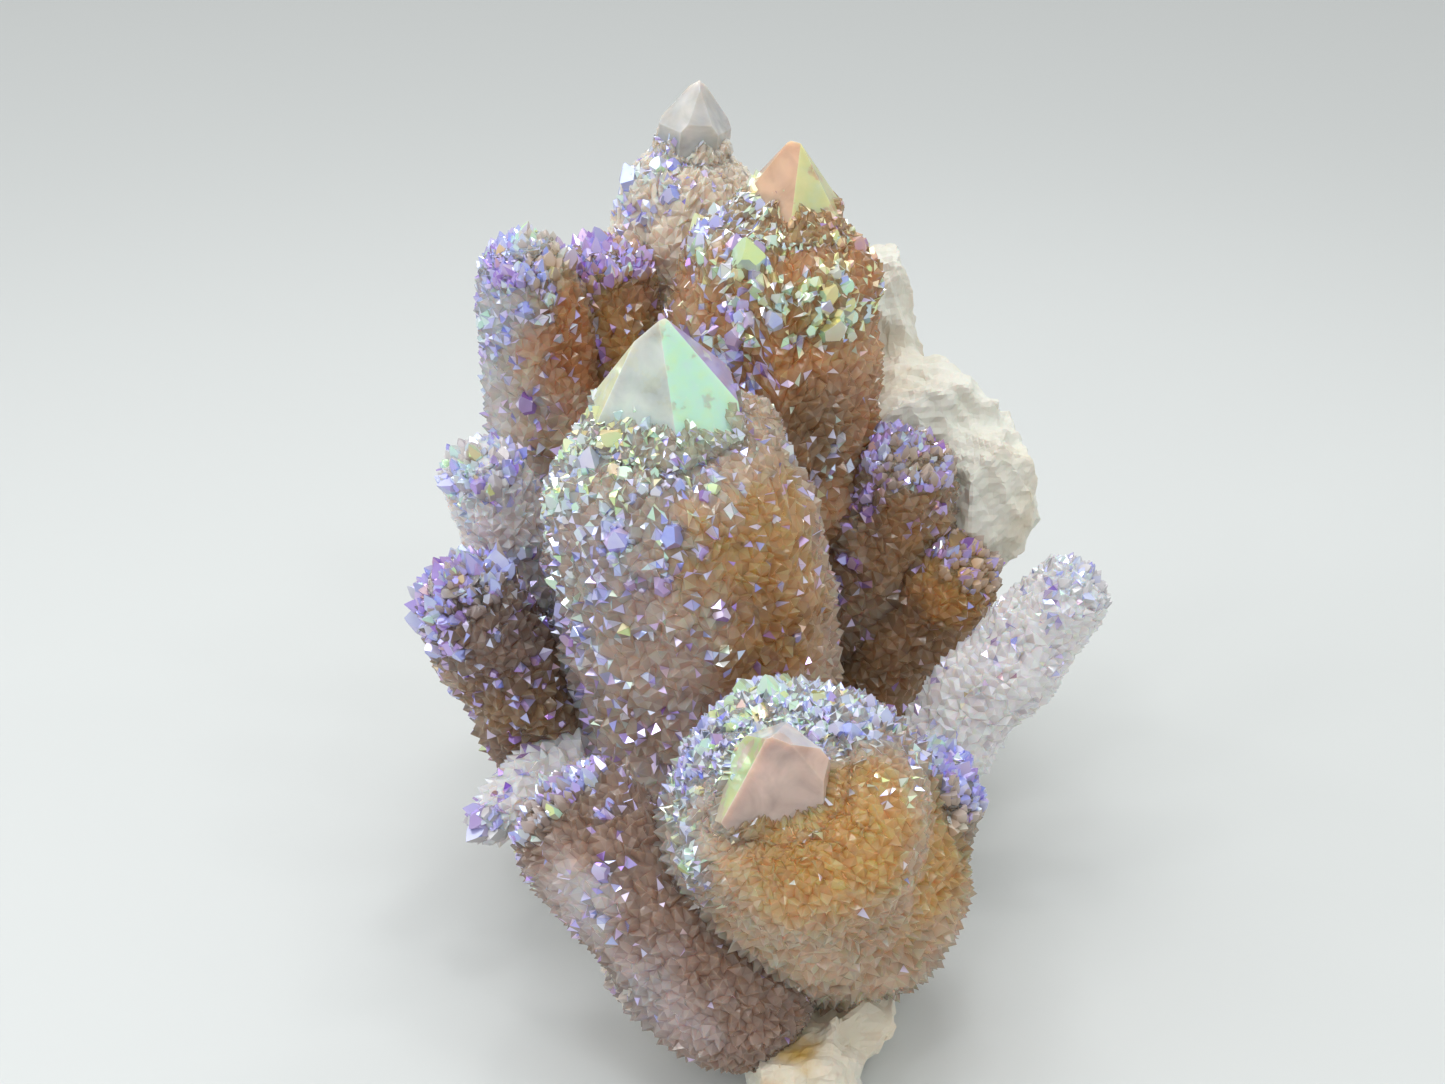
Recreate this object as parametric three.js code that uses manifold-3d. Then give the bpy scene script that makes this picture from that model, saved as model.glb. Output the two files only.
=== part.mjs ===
// Aura spirit quartz cluster.
// Candle-shaped quartz points, each wrapped in a crust of small crystals and ending in a smooth six-faced
// termination, have grown together on a stone of white milky quartz. Units are millimetres, +Z is up, and
// the stone's flat cut underside lies at z = 0.

import * as THREE from "three";
import { mergeVertices } from "three/addons/utils/BufferGeometryUtils.js";
import { ConvexGeometry } from "three/addons/geometries/ConvexGeometry.js";
import Module from "manifold-3d";

const wasm = await Module();
wasm.setup();

// ---------------------------------------------------------------- driving dimensions

// Shift that brings the middle of the cluster's footprint to x = 0, y = 0.
const CENTRING = new THREE.Vector3(-2.8, -2.3, 0);

// Clearance left all round the stone where crystals sit on it.
const SEAT_GAP = 0.45;

// One lattice cell of the crust is a three-sided tooth about this wide and this high.
const TOOTH_WIDTH = 3.8;
const TOOTH_HEIGHT = 1.1;
const TOOTH_HEIGHT_SPREAD = 0.45;
const TOOTH_LEAN = 0.3;
const LATTICE_JITTER = 0.16;

// A crust cell that a neighbour has cut below this share of its area stays flat.
const CUT_CELL_SHARE = 0.55;

// Teeth stay this far above the table, and joins may leave out edges shorter than the second size.
const TOOTH_FREE_HEIGHT = 1.6;
const SHORTEST_EDGE = 0.3;

// Outline of a crust along its axis: [part of the crust's length, part of the girth radius].
const CRUST_OUTLINE = [
  [0, 0], [0.05, 0.6], [0.18, 0.92], [0.39, 1], [0.67, 0.95], [0.85, 0.84], [0.96, 0.62], [1, 0],
];

// Part of a point's length that its crust covers: a crowned point shows its whole smooth termination, a
// half crowned one the upper part of it, and the crust of a blunt one closes just under the tip.
const CROWNED = 0.83;
const HALF_CROWNED = 0.89;
const BLUNT = 0.97;

// The fewest lattice rows and columns that still make a round crust.
const LEAST_ROWS = 6;
const LEAST_COLUMNS = 7;

// Quartz termination: apex angle fixed by the crystal, so a face drops this far for each unit of radius.
// The apex and the foot of each face are off their even places by up to these parts of the radius.
const TERMINATION_SLOPE = 1.25;
const APEX_OFFSET = 0.15;
const FACE_UNEVENNESS = 0.25;

// Larger crystals that ring the shoulder of a point, where the crust ends: how many for each millimetre of
// girth, their radius and reach as parts of the girth, their lean in radians, and how much these vary.
const RIM_CRYSTALS_PER_MM = 0.42;
const RIM_CRYSTAL_RADIUS = { least: 0.136, spread: 0.085 };
const RIM_CRYSTAL_REACH = { least: 0.25, spread: 0.125 };
const RIM_CRYSTAL_LEAN = { least: 0.35, spread: 0.3 };
const RIM_CRYSTAL_INSET = 0.8;
const RIM_CRYSTAL_ROOT = 2;
const RIM_SPACING_SPREAD = 0.6;

// Side of the cluster that the points lean towards. A termination turned by 0 degrees has a face there.
const FRONT = new THREE.Vector3(0, -1, 0);

// Large points: foot and tip of the axis, girth radius of the crust and the part of the length it covers,
// radius of the smooth termination and how far it is turned about its axis, in degrees.
const CLUSTER_POINTS = [
  { foot: [8.4, -9.6, 4], tip: [2.4, -26.5, 27.7], girth: 9.4, reach: CROWNED, cap: 4.3, turn: 8, seed: 11 },
  { foot: [-0.6, 4, 6], tip: [-4.2, -4.2, 44.6], girth: 10.1, reach: CROWNED, cap: 5.4, turn: 36, seed: 12 },
  { foot: [1.5, 17, 8], tip: [4.7, 13.5, 51.9], girth: 9, reach: HALF_CROWNED, cap: 4.9, turn: 24, seed: 13 },
  { foot: [-6, 25.5, 10], tip: [-1.7, 24, 54.2], girth: 6.9, reach: HALF_CROWNED, cap: 3, turn: 8, seed: 14 },
  { foot: [-10, 17, 8], tip: [-14.4, 12, 46.8], girth: 4.7, reach: BLUNT, cap: 2.4, turn: 0, seed: 15 },
  { foot: [-7, 18, 8], tip: [-9, 17.5, 45], girth: 5.2, reach: BLUNT, cap: 2.2, turn: 0, seed: 24 },
  { foot: [-9, 10, 6], tip: [-17.4, 2.8, 34], girth: 4.2, reach: BLUNT, cap: 2, turn: 0, seed: 16 },
  { foot: [-9, 6, 1], tip: [-18.2, -5, 28.4], girth: 4.6, reach: BLUNT, cap: 2, turn: 0, seed: 17 },
  { foot: [-9, 0, 13], tip: [-16.6, -10, 10.6], girth: 2.5, reach: BLUNT, cap: 1.4, turn: 0, seed: 25 },
  { foot: [4, -24, 4], tip: [-11.4, -16.3, 19], girth: 5.4, reach: BLUNT, cap: 1.8, turn: 0, seed: 18 },
  { foot: [4, -14, 4], tip: [-5.8, -23.4, 11.4], girth: 5.2, reach: BLUNT, cap: 1.8, turn: 0, seed: 19 },
  { foot: [8, 15, 6], tip: [14, 10.5, 31.4], girth: 5.3, reach: BLUNT, cap: 1.8, turn: 0, seed: 20 },
  { foot: [8, 14.6, 6], tip: [18.6, 9.4, 23.3], girth: 5.2, reach: BLUNT, cap: 1.8, turn: 0, seed: 21 },
  { foot: [7, -8, 3], tip: [14.2, -18, 20.2], girth: 4.6, reach: BLUNT, cap: 1.8, turn: 0, seed: 22 },
];

// Pale point at the right side, which stands clear of the others and has its own seat in the stone.
const SIDE_POINT = {
  foot: [12.6, 0.2, 7], tip: [25.8, 1, 25.6], girth: 3.5, reach: BLUNT, cap: 2.2, turn: 0, seed: 31,
};

// Stone: overlapping blocks with conchoidal flats, each given by its middle and its half sizes.
const STONE_BLOCKS = [
  { middle: [3.5, 4, 4], half: [10, 17, 6.5], seed: 41 },
  { middle: [2, 24, 7], half: [14, 9, 9], seed: 42 },
  { middle: [8, 28, 20], half: [11, 5.5, 15], seed: 43 },
  { middle: [15, 20, 25], half: [8, 6, 10], seed: 44 },
  { middle: [19.5, 16, 24], half: [4.6, 5, 6.5], seed: 45 },
  { middle: [12, 25.5, 34], half: [4, 4, 7], seed: 46 },
  { middle: [7.5, -14.5, 2.8], half: [4.4, 10, 3.4], seed: 47 },
  { middle: [5.2, -24.5, 1.8], half: [3.9, 4.8, 4.6], seed: 48 },
];
const BLOCK_CORNERS = 24;
const BLOCK_CORNER_DRIFT = 0.6;
const BLOCK_ROUGHNESS = 0.16;
const BLOCK_SQUARENESS = 0.7;
const GOLDEN_ANGLE = Math.PI * (3 - Math.sqrt(5));

// ---------------------------------------------------------------- finishes

const FINISH = {
  stone: { color: 0xcfcbc0, roughness: 0.85, metalness: 0 },
  crystal: { color: 0xab9995, roughness: 0.35, metalness: 0.1 },
  paleCrystal: { color: 0xbab3bc, roughness: 0.35, metalness: 0.1 },
};

// ---------------------------------------------------------------- helpers

/** Repeatable random numbers between 0 and 1, from a whole-number seed. */
function seededRandom(seed) {
  let state = (seed * 2654435761) >>> 0;
  return () => {
    state = (state + 0x6d2b79f5) >>> 0;
    let mixed = Math.imul(state ^ (state >>> 15), 1 | state);
    mixed = (mixed + Math.imul(mixed ^ (mixed >>> 7), 61 | mixed)) ^ mixed;
    return ((mixed ^ (mixed >>> 14)) >>> 0) / 4294967296;
  };
}

/** Position-only copy of a geometry with shared vertices merged and flat triangles dropped. */
function weld(geometry) {
  const bare = new THREE.BufferGeometry();
  bare.setAttribute("position", geometry.getAttribute("position").clone());
  if (geometry.index) bare.setIndex(geometry.index.clone());
  const merged = mergeVertices(bare, 1e-4);
  const kept = [];
  for (let i = 0; i < merged.index.count; i += 3) {
    const corners = [merged.index.getX(i), merged.index.getX(i + 1), merged.index.getX(i + 2)];
    if (new Set(corners).size === 3) kept.push(...corners);
  }
  merged.setIndex(kept);
  return merged;
}

/** Closed three.js geometry as a solid that can be joined and cut. */
function toSolid(geometry) {
  const welded = weld(geometry);
  return new wasm.Manifold(new wasm.Mesh({
    numProp: 3,
    vertProperties: new Float32Array(welded.getAttribute("position").array),
    triVerts: new Uint32Array(welded.index.array),
    tolerance: SHORTEST_EDGE,
  }));
}

/** Solid as a three.js geometry again, without the specks that a cut can leave beside its main shell. */
function toGeometry(solid) {
  const mesh = solid.getMesh();
  const geometry = new THREE.BufferGeometry();
  geometry.setAttribute("position", new THREE.BufferAttribute(mesh.vertProperties, 3));
  geometry.setIndex(mainShell(mesh.triVerts, mesh.vertProperties.length / 3));
  geometry.computeVertexNormals();
  return geometry;
}

/** Triangles of the largest connected shell in a list of triangle corners. */
function mainShell(corners, vertexCount) {
  const parent = Array.from({ length: vertexCount }, (_, vertex) => vertex);
  const rootOf = (vertex) => {
    while (parent[vertex] !== vertex) {
      parent[vertex] = parent[parent[vertex]];
      vertex = parent[vertex];
    }
    return vertex;
  };
  for (let i = 0; i < corners.length; i += 3) {
    parent[rootOf(corners[i + 1])] = rootOf(corners[i]);
    parent[rootOf(corners[i + 2])] = rootOf(corners[i]);
  }
  const shells = new Map();
  for (let i = 0; i < corners.length; i += 3) {
    const root = rootOf(corners[i]);
    if (!shells.has(root)) shells.set(root, []);
    shells.get(root).push(corners[i], corners[i + 1], corners[i + 2]);
  }
  return [...shells.values()].reduce((largest, shell) => (shell.length > largest.length ? shell : largest));
}

/** Union of a list of solids. */
function join(solids) {
  return solids.reduce((whole, solid) => whole.add(solid));
}

/** Evenly spread random number from least up to least + spread. */
function vary({ least, spread }, random) {
  return least + spread * random();
}

/** Random number between -size and +size. */
function offBy(size, random) {
  return (random() - 0.5) * 2 * size;
}

/** Transform that takes a piece along +Y onto an axis from foot to tip, with its +Z side to the front. */
function axisTransform(foot, tip, turn) {
  const from = new THREE.Vector3(...foot);
  const along = new THREE.Vector3(...tip).sub(from).normalize();
  const front = FRONT.clone().addScaledVector(along, -FRONT.dot(along)).normalize();
  front.applyAxisAngle(along, THREE.MathUtils.degToRad(turn));
  const side = new THREE.Vector3().crossVectors(along, front);
  return new THREE.Matrix4().makeBasis(side, along, front).setPosition(from);
}

// ---------------------------------------------------------------- crystals

/** Six-sided crystal standing on the origin along +Y, with a six-faced termination of unequal faces. */
function hexCrystal(radius, length, random) {
  const shoulder = length - radius * TERMINATION_SLOPE;
  const apexOffset = APEX_OFFSET * radius;
  const corners = [new THREE.Vector3(offBy(apexOffset, random), length, offBy(apexOffset, random))];
  for (let side = 0; side < 6; side += 1) {
    const angle = (side / 6) * Math.PI * 2;
    const x = Math.cos(angle) * radius;
    const z = Math.sin(angle) * radius;
    corners.push(new THREE.Vector3(x, 0, z));
    corners.push(new THREE.Vector3(x, shoulder + offBy(FACE_UNEVENNESS * radius, random), z));
  }
  return new ConvexGeometry(corners);
}

/** Crust of a point along +Y, still smooth: a spindle on a three-way lattice of uneven cells. */
function crustGeometry(length, girth, random) {
  const outline = new THREE.SplineCurve(
    CRUST_OUTLINE.map(([along, out]) => new THREE.Vector2(out * girth, along * length)),
  );
  const rowHeight = TOOTH_WIDTH * Math.sqrt(3) / 2;
  const rows = Math.max(LEAST_ROWS, Math.round(outline.getLength() / rowHeight));
  const columns = Math.max(LEAST_COLUMNS, Math.round((2 * Math.PI * girth) / TOOTH_WIDTH));
  const profile = outline.getSpacedPoints(rows);
  profile.forEach((point) => point.setX(Math.max(0, point.x)));
  profile[0].x = 0;
  profile[rows].x = 0;
  const lathe = new THREE.LatheGeometry(profile, columns);
  twistRows(lathe, rows, columns);
  const lattice = weld(lathe);
  jitterLattice(lattice, random);
  return lattice;
}

/** Turns each lattice row half a cell past the one below, so that the cells become even triangles. */
function twistRows(lathe, rows, columns) {
  const position = lathe.getAttribute("position");
  const up = new THREE.Vector3(0, 1, 0);
  const vertex = new THREE.Vector3();
  for (let i = 0; i < position.count; i += 1) {
    const row = i % (rows + 1);
    vertex.fromBufferAttribute(position, i).applyAxisAngle(up, (row * Math.PI) / columns);
    position.setXYZ(i, vertex.x, vertex.y, vertex.z);
  }
}

/** Moves each lattice corner a little, so that no two cells are alike. */
function jitterLattice(lattice, random) {
  const position = lattice.getAttribute("position");
  for (let i = 0; i < position.count; i += 1) {
    const step = () => offBy(LATTICE_JITTER * TOOTH_WIDTH, random);
    position.setXYZ(i, position.getX(i) + step(), position.getY(i) + step(), position.getZ(i) + step());
  }
}

/** Raises a three-sided tooth, leaning upwards, on every whole crust cell of a joined solid. */
function raiseTeeth(solid, crustIds, random) {
  const mesh = solid.getMesh();
  const geometry = new THREE.BufferGeometry();
  geometry.setAttribute("position", new THREE.BufferAttribute(mesh.vertProperties, 3));
  const position = geometry.getAttribute("position");
  const vertices = Array.from(mesh.vertProperties);
  const triangles = [];
  const cell = new THREE.Triangle();
  const apex = new THREE.Vector3();
  const normal = new THREE.Vector3();
  const wholeArea = TOOTH_WIDTH * TOOTH_WIDTH * Math.sqrt(3) / 4;
  mesh.runOriginalID.forEach((id, run) => {
    for (let i = mesh.runIndex[run]; i < mesh.runIndex[run + 1]; i += 3) {
      const [a, b, c] = mesh.triVerts.subarray(i, i + 3);
      cell.setFromAttributeAndIndices(position, a, b, c);
      cell.getMidpoint(apex);
      const isWhole = cell.getArea() > CUT_CELL_SHARE * wholeArea;
      if (!crustIds.has(id) || !isWhole || apex.z < TOOTH_FREE_HEIGHT) {
        triangles.push(a, b, c);
        continue;
      }
      cell.getNormal(normal);
      const height = TOOTH_HEIGHT * (1 + offBy(TOOTH_HEIGHT_SPREAD, random));
      apex.addScaledVector(normal, height);
      apex.z += TOOTH_LEAN * height;
      const top = vertices.length / 3;
      vertices.push(apex.x, apex.y, apex.z);
      triangles.push(a, b, top, b, c, top, c, a, top);
    }
  });
  const raised = new THREE.BufferGeometry();
  raised.setAttribute("position", new THREE.Float32BufferAttribute(vertices, 3));
  raised.setIndex(triangles);
  return raised;
}

/** Whole spirit quartz point: crust, smooth termination and the larger crystals round its shoulder. */
function spiritPoint({ foot, tip, girth, reach, cap, turn, seed }, crustIds) {
  const random = seededRandom(seed);
  const length = new THREE.Vector3(...foot).distanceTo(new THREE.Vector3(...tip));
  const place = axisTransform(foot, tip, turn);
  const crust = toSolid(crustGeometry(reach * length, girth, random).applyMatrix4(place)).asOriginal();
  crustIds.add(crust.originalID());
  const crystals = [hexCrystal(cap, length, random)];
  const [shoulder, shoulderGirth] = CRUST_OUTLINE.at(-2);
  const rimCrystals = Math.round(girth * RIM_CRYSTALS_PER_MM);
  for (let i = 0; i < rimCrystals; i += 1) {
    const size = girth * vary(RIM_CRYSTAL_RADIUS, random);
    const root = RIM_CRYSTAL_ROOT * size;
    const crystal = hexCrystal(size, girth * vary(RIM_CRYSTAL_REACH, random) + root, random);
    crystal.rotateZ(-vary(RIM_CRYSTAL_LEAN, random));
    crystal.translate(shoulderGirth * girth * RIM_CRYSTAL_INSET, shoulder * reach * length - root, 0);
    crystal.rotateY(((i + RIM_SPACING_SPREAD * random()) / rimCrystals) * Math.PI * 2);
    crystals.push(crystal);
  }
  return join([crust, ...crystals.map((crystal) => toSolid(crystal.applyMatrix4(place)))]);
}

/** Solid with teeth on its crust, trimmed where a tooth would reach into the table or the stone. */
function toothed(solid, crustIds, table, seat, random) {
  return toSolid(raiseTeeth(solid, crustIds, random)).subtract(table).subtract(seat);
}

// ---------------------------------------------------------------- stone

/** One block of the stone: the hull of points strewn over a boxy egg, pushed out by a clearance. */
function stoneBlock({ middle, half, seed }, clearance) {
  const random = seededRandom(seed);
  const squared = (value) => Math.sign(value) * Math.abs(value) ** BLOCK_SQUARENESS;
  const corners = [];
  for (let i = 0; i < BLOCK_CORNERS; i += 1) {
    const height = 1 - (2 * (i + 0.5)) / BLOCK_CORNERS;
    const around = i * GOLDEN_ANGLE + random() * BLOCK_CORNER_DRIFT;
    const ring = Math.sqrt(1 - height * height);
    const reach = 1 + offBy(BLOCK_ROUGHNESS, random);
    const spread = [ring * Math.cos(around), ring * Math.sin(around), height];
    const corner = spread.map((part, i) => middle[i] + squared(part) * (half[i] * reach + clearance));
    corners.push(new THREE.Vector3(...corner));
  }
  return toSolid(new ConvexGeometry(corners));
}

/** Whole stone, optionally grown by a clearance, before its underside is cut flat. */
function stoneSolid(clearance) {
  return join(STONE_BLOCKS.map((block) => stoneBlock(block, clearance)));
}

/** Everything below the table level z = 0, for cutting undersides flat. */
function belowTable() {
  const depth = 100;
  const slab = new THREE.BoxGeometry(4 * depth, 4 * depth, depth);
  slab.translate(0, 0, -depth / 2);
  return toSolid(slab);
}

// ---------------------------------------------------------------- assembly

/** Named mesh with its own finish. */
function namedMesh(name, geometry, finish) {
  const mesh = new THREE.Mesh(geometry, new THREE.MeshStandardMaterial(finish));
  mesh.name = name;
  return mesh;
}

const table = belowTable();
const seat = stoneSolid(SEAT_GAP);
const crustIds = new Set();

const matrix = stoneSolid(0).subtract(table);
const grownTogether = join(CLUSTER_POINTS.map((point) => spiritPoint(point, crustIds))).subtract(seat);
const sideCrystal = spiritPoint(SIDE_POINT, crustIds).subtract(seat);
const crystalCluster = toothed(grownTogether, crustIds, table, seat, seededRandom(1));
const sidePoint = toothed(sideCrystal, crustIds, table, seat, seededRandom(2));

const cluster = new THREE.Group();
cluster.position.copy(CENTRING);
cluster.add(namedMesh("matrix", toGeometry(matrix), FINISH.stone));
cluster.add(namedMesh("crystal_cluster", toGeometry(crystalCluster), FINISH.crystal));
cluster.add(namedMesh("side_point", toGeometry(sidePoint), FINISH.paleCrystal));

export default cluster;
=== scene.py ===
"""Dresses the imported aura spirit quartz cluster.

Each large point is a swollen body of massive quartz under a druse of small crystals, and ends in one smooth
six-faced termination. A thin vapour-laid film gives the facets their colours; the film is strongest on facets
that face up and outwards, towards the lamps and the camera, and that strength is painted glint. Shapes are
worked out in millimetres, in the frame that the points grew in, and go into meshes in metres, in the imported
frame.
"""

import itertools
import logging
import math
from dataclasses import dataclass, field
from enum import Enum

import bpy
import numpy as np
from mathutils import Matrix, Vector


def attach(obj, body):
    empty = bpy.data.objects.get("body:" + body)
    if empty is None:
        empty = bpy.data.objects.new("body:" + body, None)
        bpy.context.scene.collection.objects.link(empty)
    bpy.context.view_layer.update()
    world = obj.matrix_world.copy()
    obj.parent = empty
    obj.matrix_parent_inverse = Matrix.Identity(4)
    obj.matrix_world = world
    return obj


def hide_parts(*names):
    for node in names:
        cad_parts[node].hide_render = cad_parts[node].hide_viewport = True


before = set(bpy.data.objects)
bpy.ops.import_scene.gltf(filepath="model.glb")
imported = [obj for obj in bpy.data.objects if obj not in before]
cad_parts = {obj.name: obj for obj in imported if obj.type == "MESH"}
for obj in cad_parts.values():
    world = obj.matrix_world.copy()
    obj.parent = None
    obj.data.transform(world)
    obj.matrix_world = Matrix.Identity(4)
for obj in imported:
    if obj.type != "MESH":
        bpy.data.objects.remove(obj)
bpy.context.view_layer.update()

LOG = logging.getLogger("cluster")
Array = np.ndarray
Piece = bpy.types.Object
Material = bpy.types.Material
Output = bpy.types.NodeSocket
Value = Output | float | tuple | Array
Pair = tuple[float, float]
Triple = tuple[float, float, float]
MM = 0.001

# Millimetres by which the growing frame is moved to bring the footprint's middle to the origin.
CENTRING = np.array([-2.8, -2.3, 0.0])

# Outline of a point's body: part of the body's length, and part of its girth radius, from foot to top. The
# shoulder is a part of that length, and the outline's curve has this many steps between two of its places.
BODY_OUTLINE = np.array(
    [[0, 0], [0.05, 0.6], [0.18, 0.92], [0.39, 1], [0.67, 0.95], [0.85, 0.84], [0.96, 0.62], [1, 0]]
)
SHOULDER = 0.96
OUTLINE_STEPS = 12

# Parts of its axis that a point's body covers: under a high termination, under a low one, and at a blunt end.
CROWNED = 0.83
HALF_CROWNED = 0.89
BLUNT = 0.97

# A termination's height beside its radius, and a hexagon's inner radius beside its outer one.
TERMINATION_SLOPE = 1.25
HEXAGON_INSET = math.cos(math.pi / 6)

# How far the film's colour wanders along its scale over one facet, to either side, and the noise values
# between which worn film gives way to whole film.
FILM_DRIFT = 0.08
WORN_EDGE = (0.43, 0.47)

# Corners of a three-sided plate's faces, its upper corners numbered before its lower ones, and their counts.
PLATE_CORNERS = np.array([0, 1, 2, 5, 4, 3, 0, 3, 4, 1, 1, 4, 5, 2, 2, 5, 3, 0])
PLATE_SIZES = np.array([3, 3, 4, 4, 4])

GOLDEN_ANGLE = math.pi * (3 - math.sqrt(5))

# Side of the cluster that the points lean towards.
FRONT = np.array([0.0, -1.0, 0.0])


# -------- colours


class Body(Enum):
    """Colours of the massive quartz under the film, as linear red, green and blue."""

    HONEY = (0.99, 0.64, 0.29)
    AMBER = (0.80, 0.50, 0.22)
    RUST = (0.85, 0.46, 0.22)
    ORANGE = (0.96, 0.54, 0.25)
    UMBER = (0.58, 0.40, 0.25)
    TAWNY = (0.95, 0.68, 0.45)
    PINK = (0.56, 0.43, 0.38)
    MAUVE = (0.90, 0.80, 0.79)
    ROSE = (0.95, 0.77, 0.70)
    TAUPE = (0.82, 0.67, 0.54)
    FAWN = (0.97, 0.74, 0.57)
    DUSK = (0.50, 0.36, 0.29)
    HEATHER = (0.76, 0.65, 0.64)
    PALE_LILAC = (0.99, 0.94, 0.97)
    BONE = (0.46, 0.45, 0.42)
    SAGE = (0.48, 0.51, 0.43)
    PEACH = (0.48, 0.32, 0.22)


class Film(Enum):
    """Colours of the film as it thickens, each with its place on the closed round of them."""

    VIOLET = (0.0, (0.33, 0.15, 0.66))
    LILAC = (0.14, (0.55, 0.42, 0.88))
    BLUE = (0.3, (0.37, 0.43, 0.95))
    PEARL = (0.44, (0.66, 0.76, 0.92))
    MINT = (0.56, (0.58, 0.92, 0.72))
    LIME = (0.64, (0.72, 0.92, 0.42))
    LEMON = (0.72, (0.90, 0.88, 0.40))
    PEACH = (0.84, (0.94, 0.60, 0.38))

    def __init__(self, place: float, colour: Triple) -> None:
        """Keeps the place and the colour, as linear red, green and blue."""
        self.place, self.colour = place, colour


# -------- vectors


def unit(vectors: Array) -> Array:
    """Vectors divided by their own length along the last axis."""
    return vectors / np.maximum(np.linalg.norm(vectors, axis=-1, keepdims=True), 1e-12)


def square_to(axes: Array) -> tuple[Array, Array]:
    """Two unit vectors square to each axis and to each other.

    Args:
        axes: unit vectors, one a row.

    Returns:
        The first and the second square vector of each row.
    """
    helper = np.where(np.abs(axes[..., 2:3]) < 0.9, [0.0, 0.0, 1.0], [1.0, 0.0, 0.0])
    side = unit(np.cross(helper, axes))
    return side, np.cross(axes, side)


def smooth_step(low: float, high: float, values: Array) -> Array:
    """Zero below low, one above high, and the cubic 3t^2 - 2t^3 of the part t of the way between."""
    part = np.clip((values - low) / (high - low), 0.0, 1.0)
    return part * part * (3 - 2 * part)


def soft_noise(points: Array, pitch: float, seed: int, waves: int = 12) -> Array:
    """Smooth noise, nearly all of it between -1 and 1: a sum of plane waves of random direction and phase.

    The sum is divided by 1.6 times its own standard deviation, the square root of half the number of waves.

    Args:
        points: places in millimetres, one a row.
        pitch: about the distance between two crests.
        seed: chooses the waves.
        waves: number of waves.

    Returns:
        One value for each point.
    """
    rng = np.random.default_rng(seed)
    crests = unit(rng.normal(size=(waves, 3))) * (2 * math.pi / pitch) * rng.uniform(0.6, 1.5, (waves, 1))
    phases = rng.uniform(0, 2 * math.pi, waves)
    return np.sin(points @ crests.T + phases).sum(axis=1) / math.sqrt(waves / 2) / 1.6


# -------- meshes


@dataclass
class Facets:
    """Faces of a piece before it becomes a mesh.

    corners lists each polygon's vertices one after another, and sizes says how many each has. face_values and
    point_values hold named numbers or colours for the finish to read.
    """

    vertices: Array
    corners: Array
    sizes: Array
    face_values: dict[str, Array] = field(default_factory=dict)
    point_values: dict[str, Array] = field(default_factory=dict)

    def normals(self) -> Array:
        """Unit normal of each polygon, from the cross product of its first two edges."""
        first = np.cumsum(self.sizes) - self.sizes
        a, b, c = (self.vertices[self.corners[first + step]] for step in range(3))
        return unit(np.cross(b - a, c - a))

    def middles(self) -> Array:
        """Middle of each polygon: the mean of its corners."""
        first = np.cumsum(self.sizes) - self.sizes
        return np.add.reduceat(self.vertices[self.corners], first) / self.sizes[:, None]

    @staticmethod
    def joined(parts: list["Facets"]) -> "Facets":
        """All the parts' faces in one set.

        Args:
            parts: sets of faces that have the same named values.

        Returns:
            The joined set.
        """
        offsets = np.cumsum([0] + [len(part.vertices) for part in parts[:-1]])
        first = parts[0]
        return Facets(
            np.concatenate([part.vertices for part in parts]),
            np.concatenate([part.corners + offset for part, offset in zip(parts, offsets)]),
            np.concatenate([part.sizes for part in parts]),
            {key: np.concatenate([part.face_values[key] for part in parts]) for key in first.face_values},
            {key: np.concatenate([part.point_values[key] for part in parts]) for key in first.point_values},
        )

    def to_object(self, name: str, material: Material) -> Piece:
        """The faces as a flat-shaded mesh object at the origin, in metres.

        Args:
            name: name of the object and of its mesh.
            material: finish of every face.

        Returns:
            The new object, linked to the scene.
        """
        mesh = bpy.data.meshes.new(name)
        mesh.vertices.add(len(self.vertices))
        mesh.vertices.foreach_set("co", ((self.vertices + CENTRING) * MM).astype(np.float32).ravel())
        mesh.loops.add(len(self.corners))
        mesh.loops.foreach_set("vertex_index", self.corners.astype(np.int32))
        mesh.polygons.add(len(self.sizes))
        mesh.polygons.foreach_set("loop_start", (np.cumsum(self.sizes) - self.sizes).astype(np.int32))
        mesh.polygons.foreach_set("loop_total", self.sizes.astype(np.int32))
        for domain, values in (("FACE", self.face_values), ("POINT", self.point_values)):
            for key, numbers in values.items():
                is_colour = numbers.ndim == 2
                attribute = mesh.attributes.new(key, "FLOAT_COLOR" if is_colour else "FLOAT", domain)
                if is_colour:
                    numbers = np.column_stack([numbers, np.ones(len(numbers))])
                    attribute.data.foreach_set("color", numbers.astype(np.float32).ravel())
                else:
                    attribute.data.foreach_set("value", numbers.astype(np.float32))
        mesh.update(calc_edges=True)
        mesh.validate()
        mesh.shade_flat()
        mesh.materials.append(material)
        return add_object(name, mesh)


def add_object(name: str, data: bpy.types.ID) -> Piece:
    """New object in the scene, with that mesh, lamp or camera."""
    thing = bpy.data.objects.new(name, data)
    bpy.context.scene.collection.objects.link(thing)
    return thing


def closed_tube(vertices: Array, sides: Array, rows: int, columns: int) -> Facets:
    """Tube closed by one polygon over its lowest ring of vertices and one over its highest.

    Args:
        vertices: the rings' vertices, lowest ring first and anticlockwise seen from above, then any others.
        sides: vertices of each polygon between the ends, one polygon a row.
        rows: number of rings.
        columns: vertices in a ring.

    Returns:
        The faces, the two ends last, without named values.
    """
    bottom = np.arange(columns)
    top = rows * columns - 1 - bottom
    sizes = np.concatenate([np.full(len(sides), sides.shape[1]), [columns, columns]])
    return Facets(vertices, np.concatenate([sides.ravel(), bottom, top]), sizes)


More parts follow.
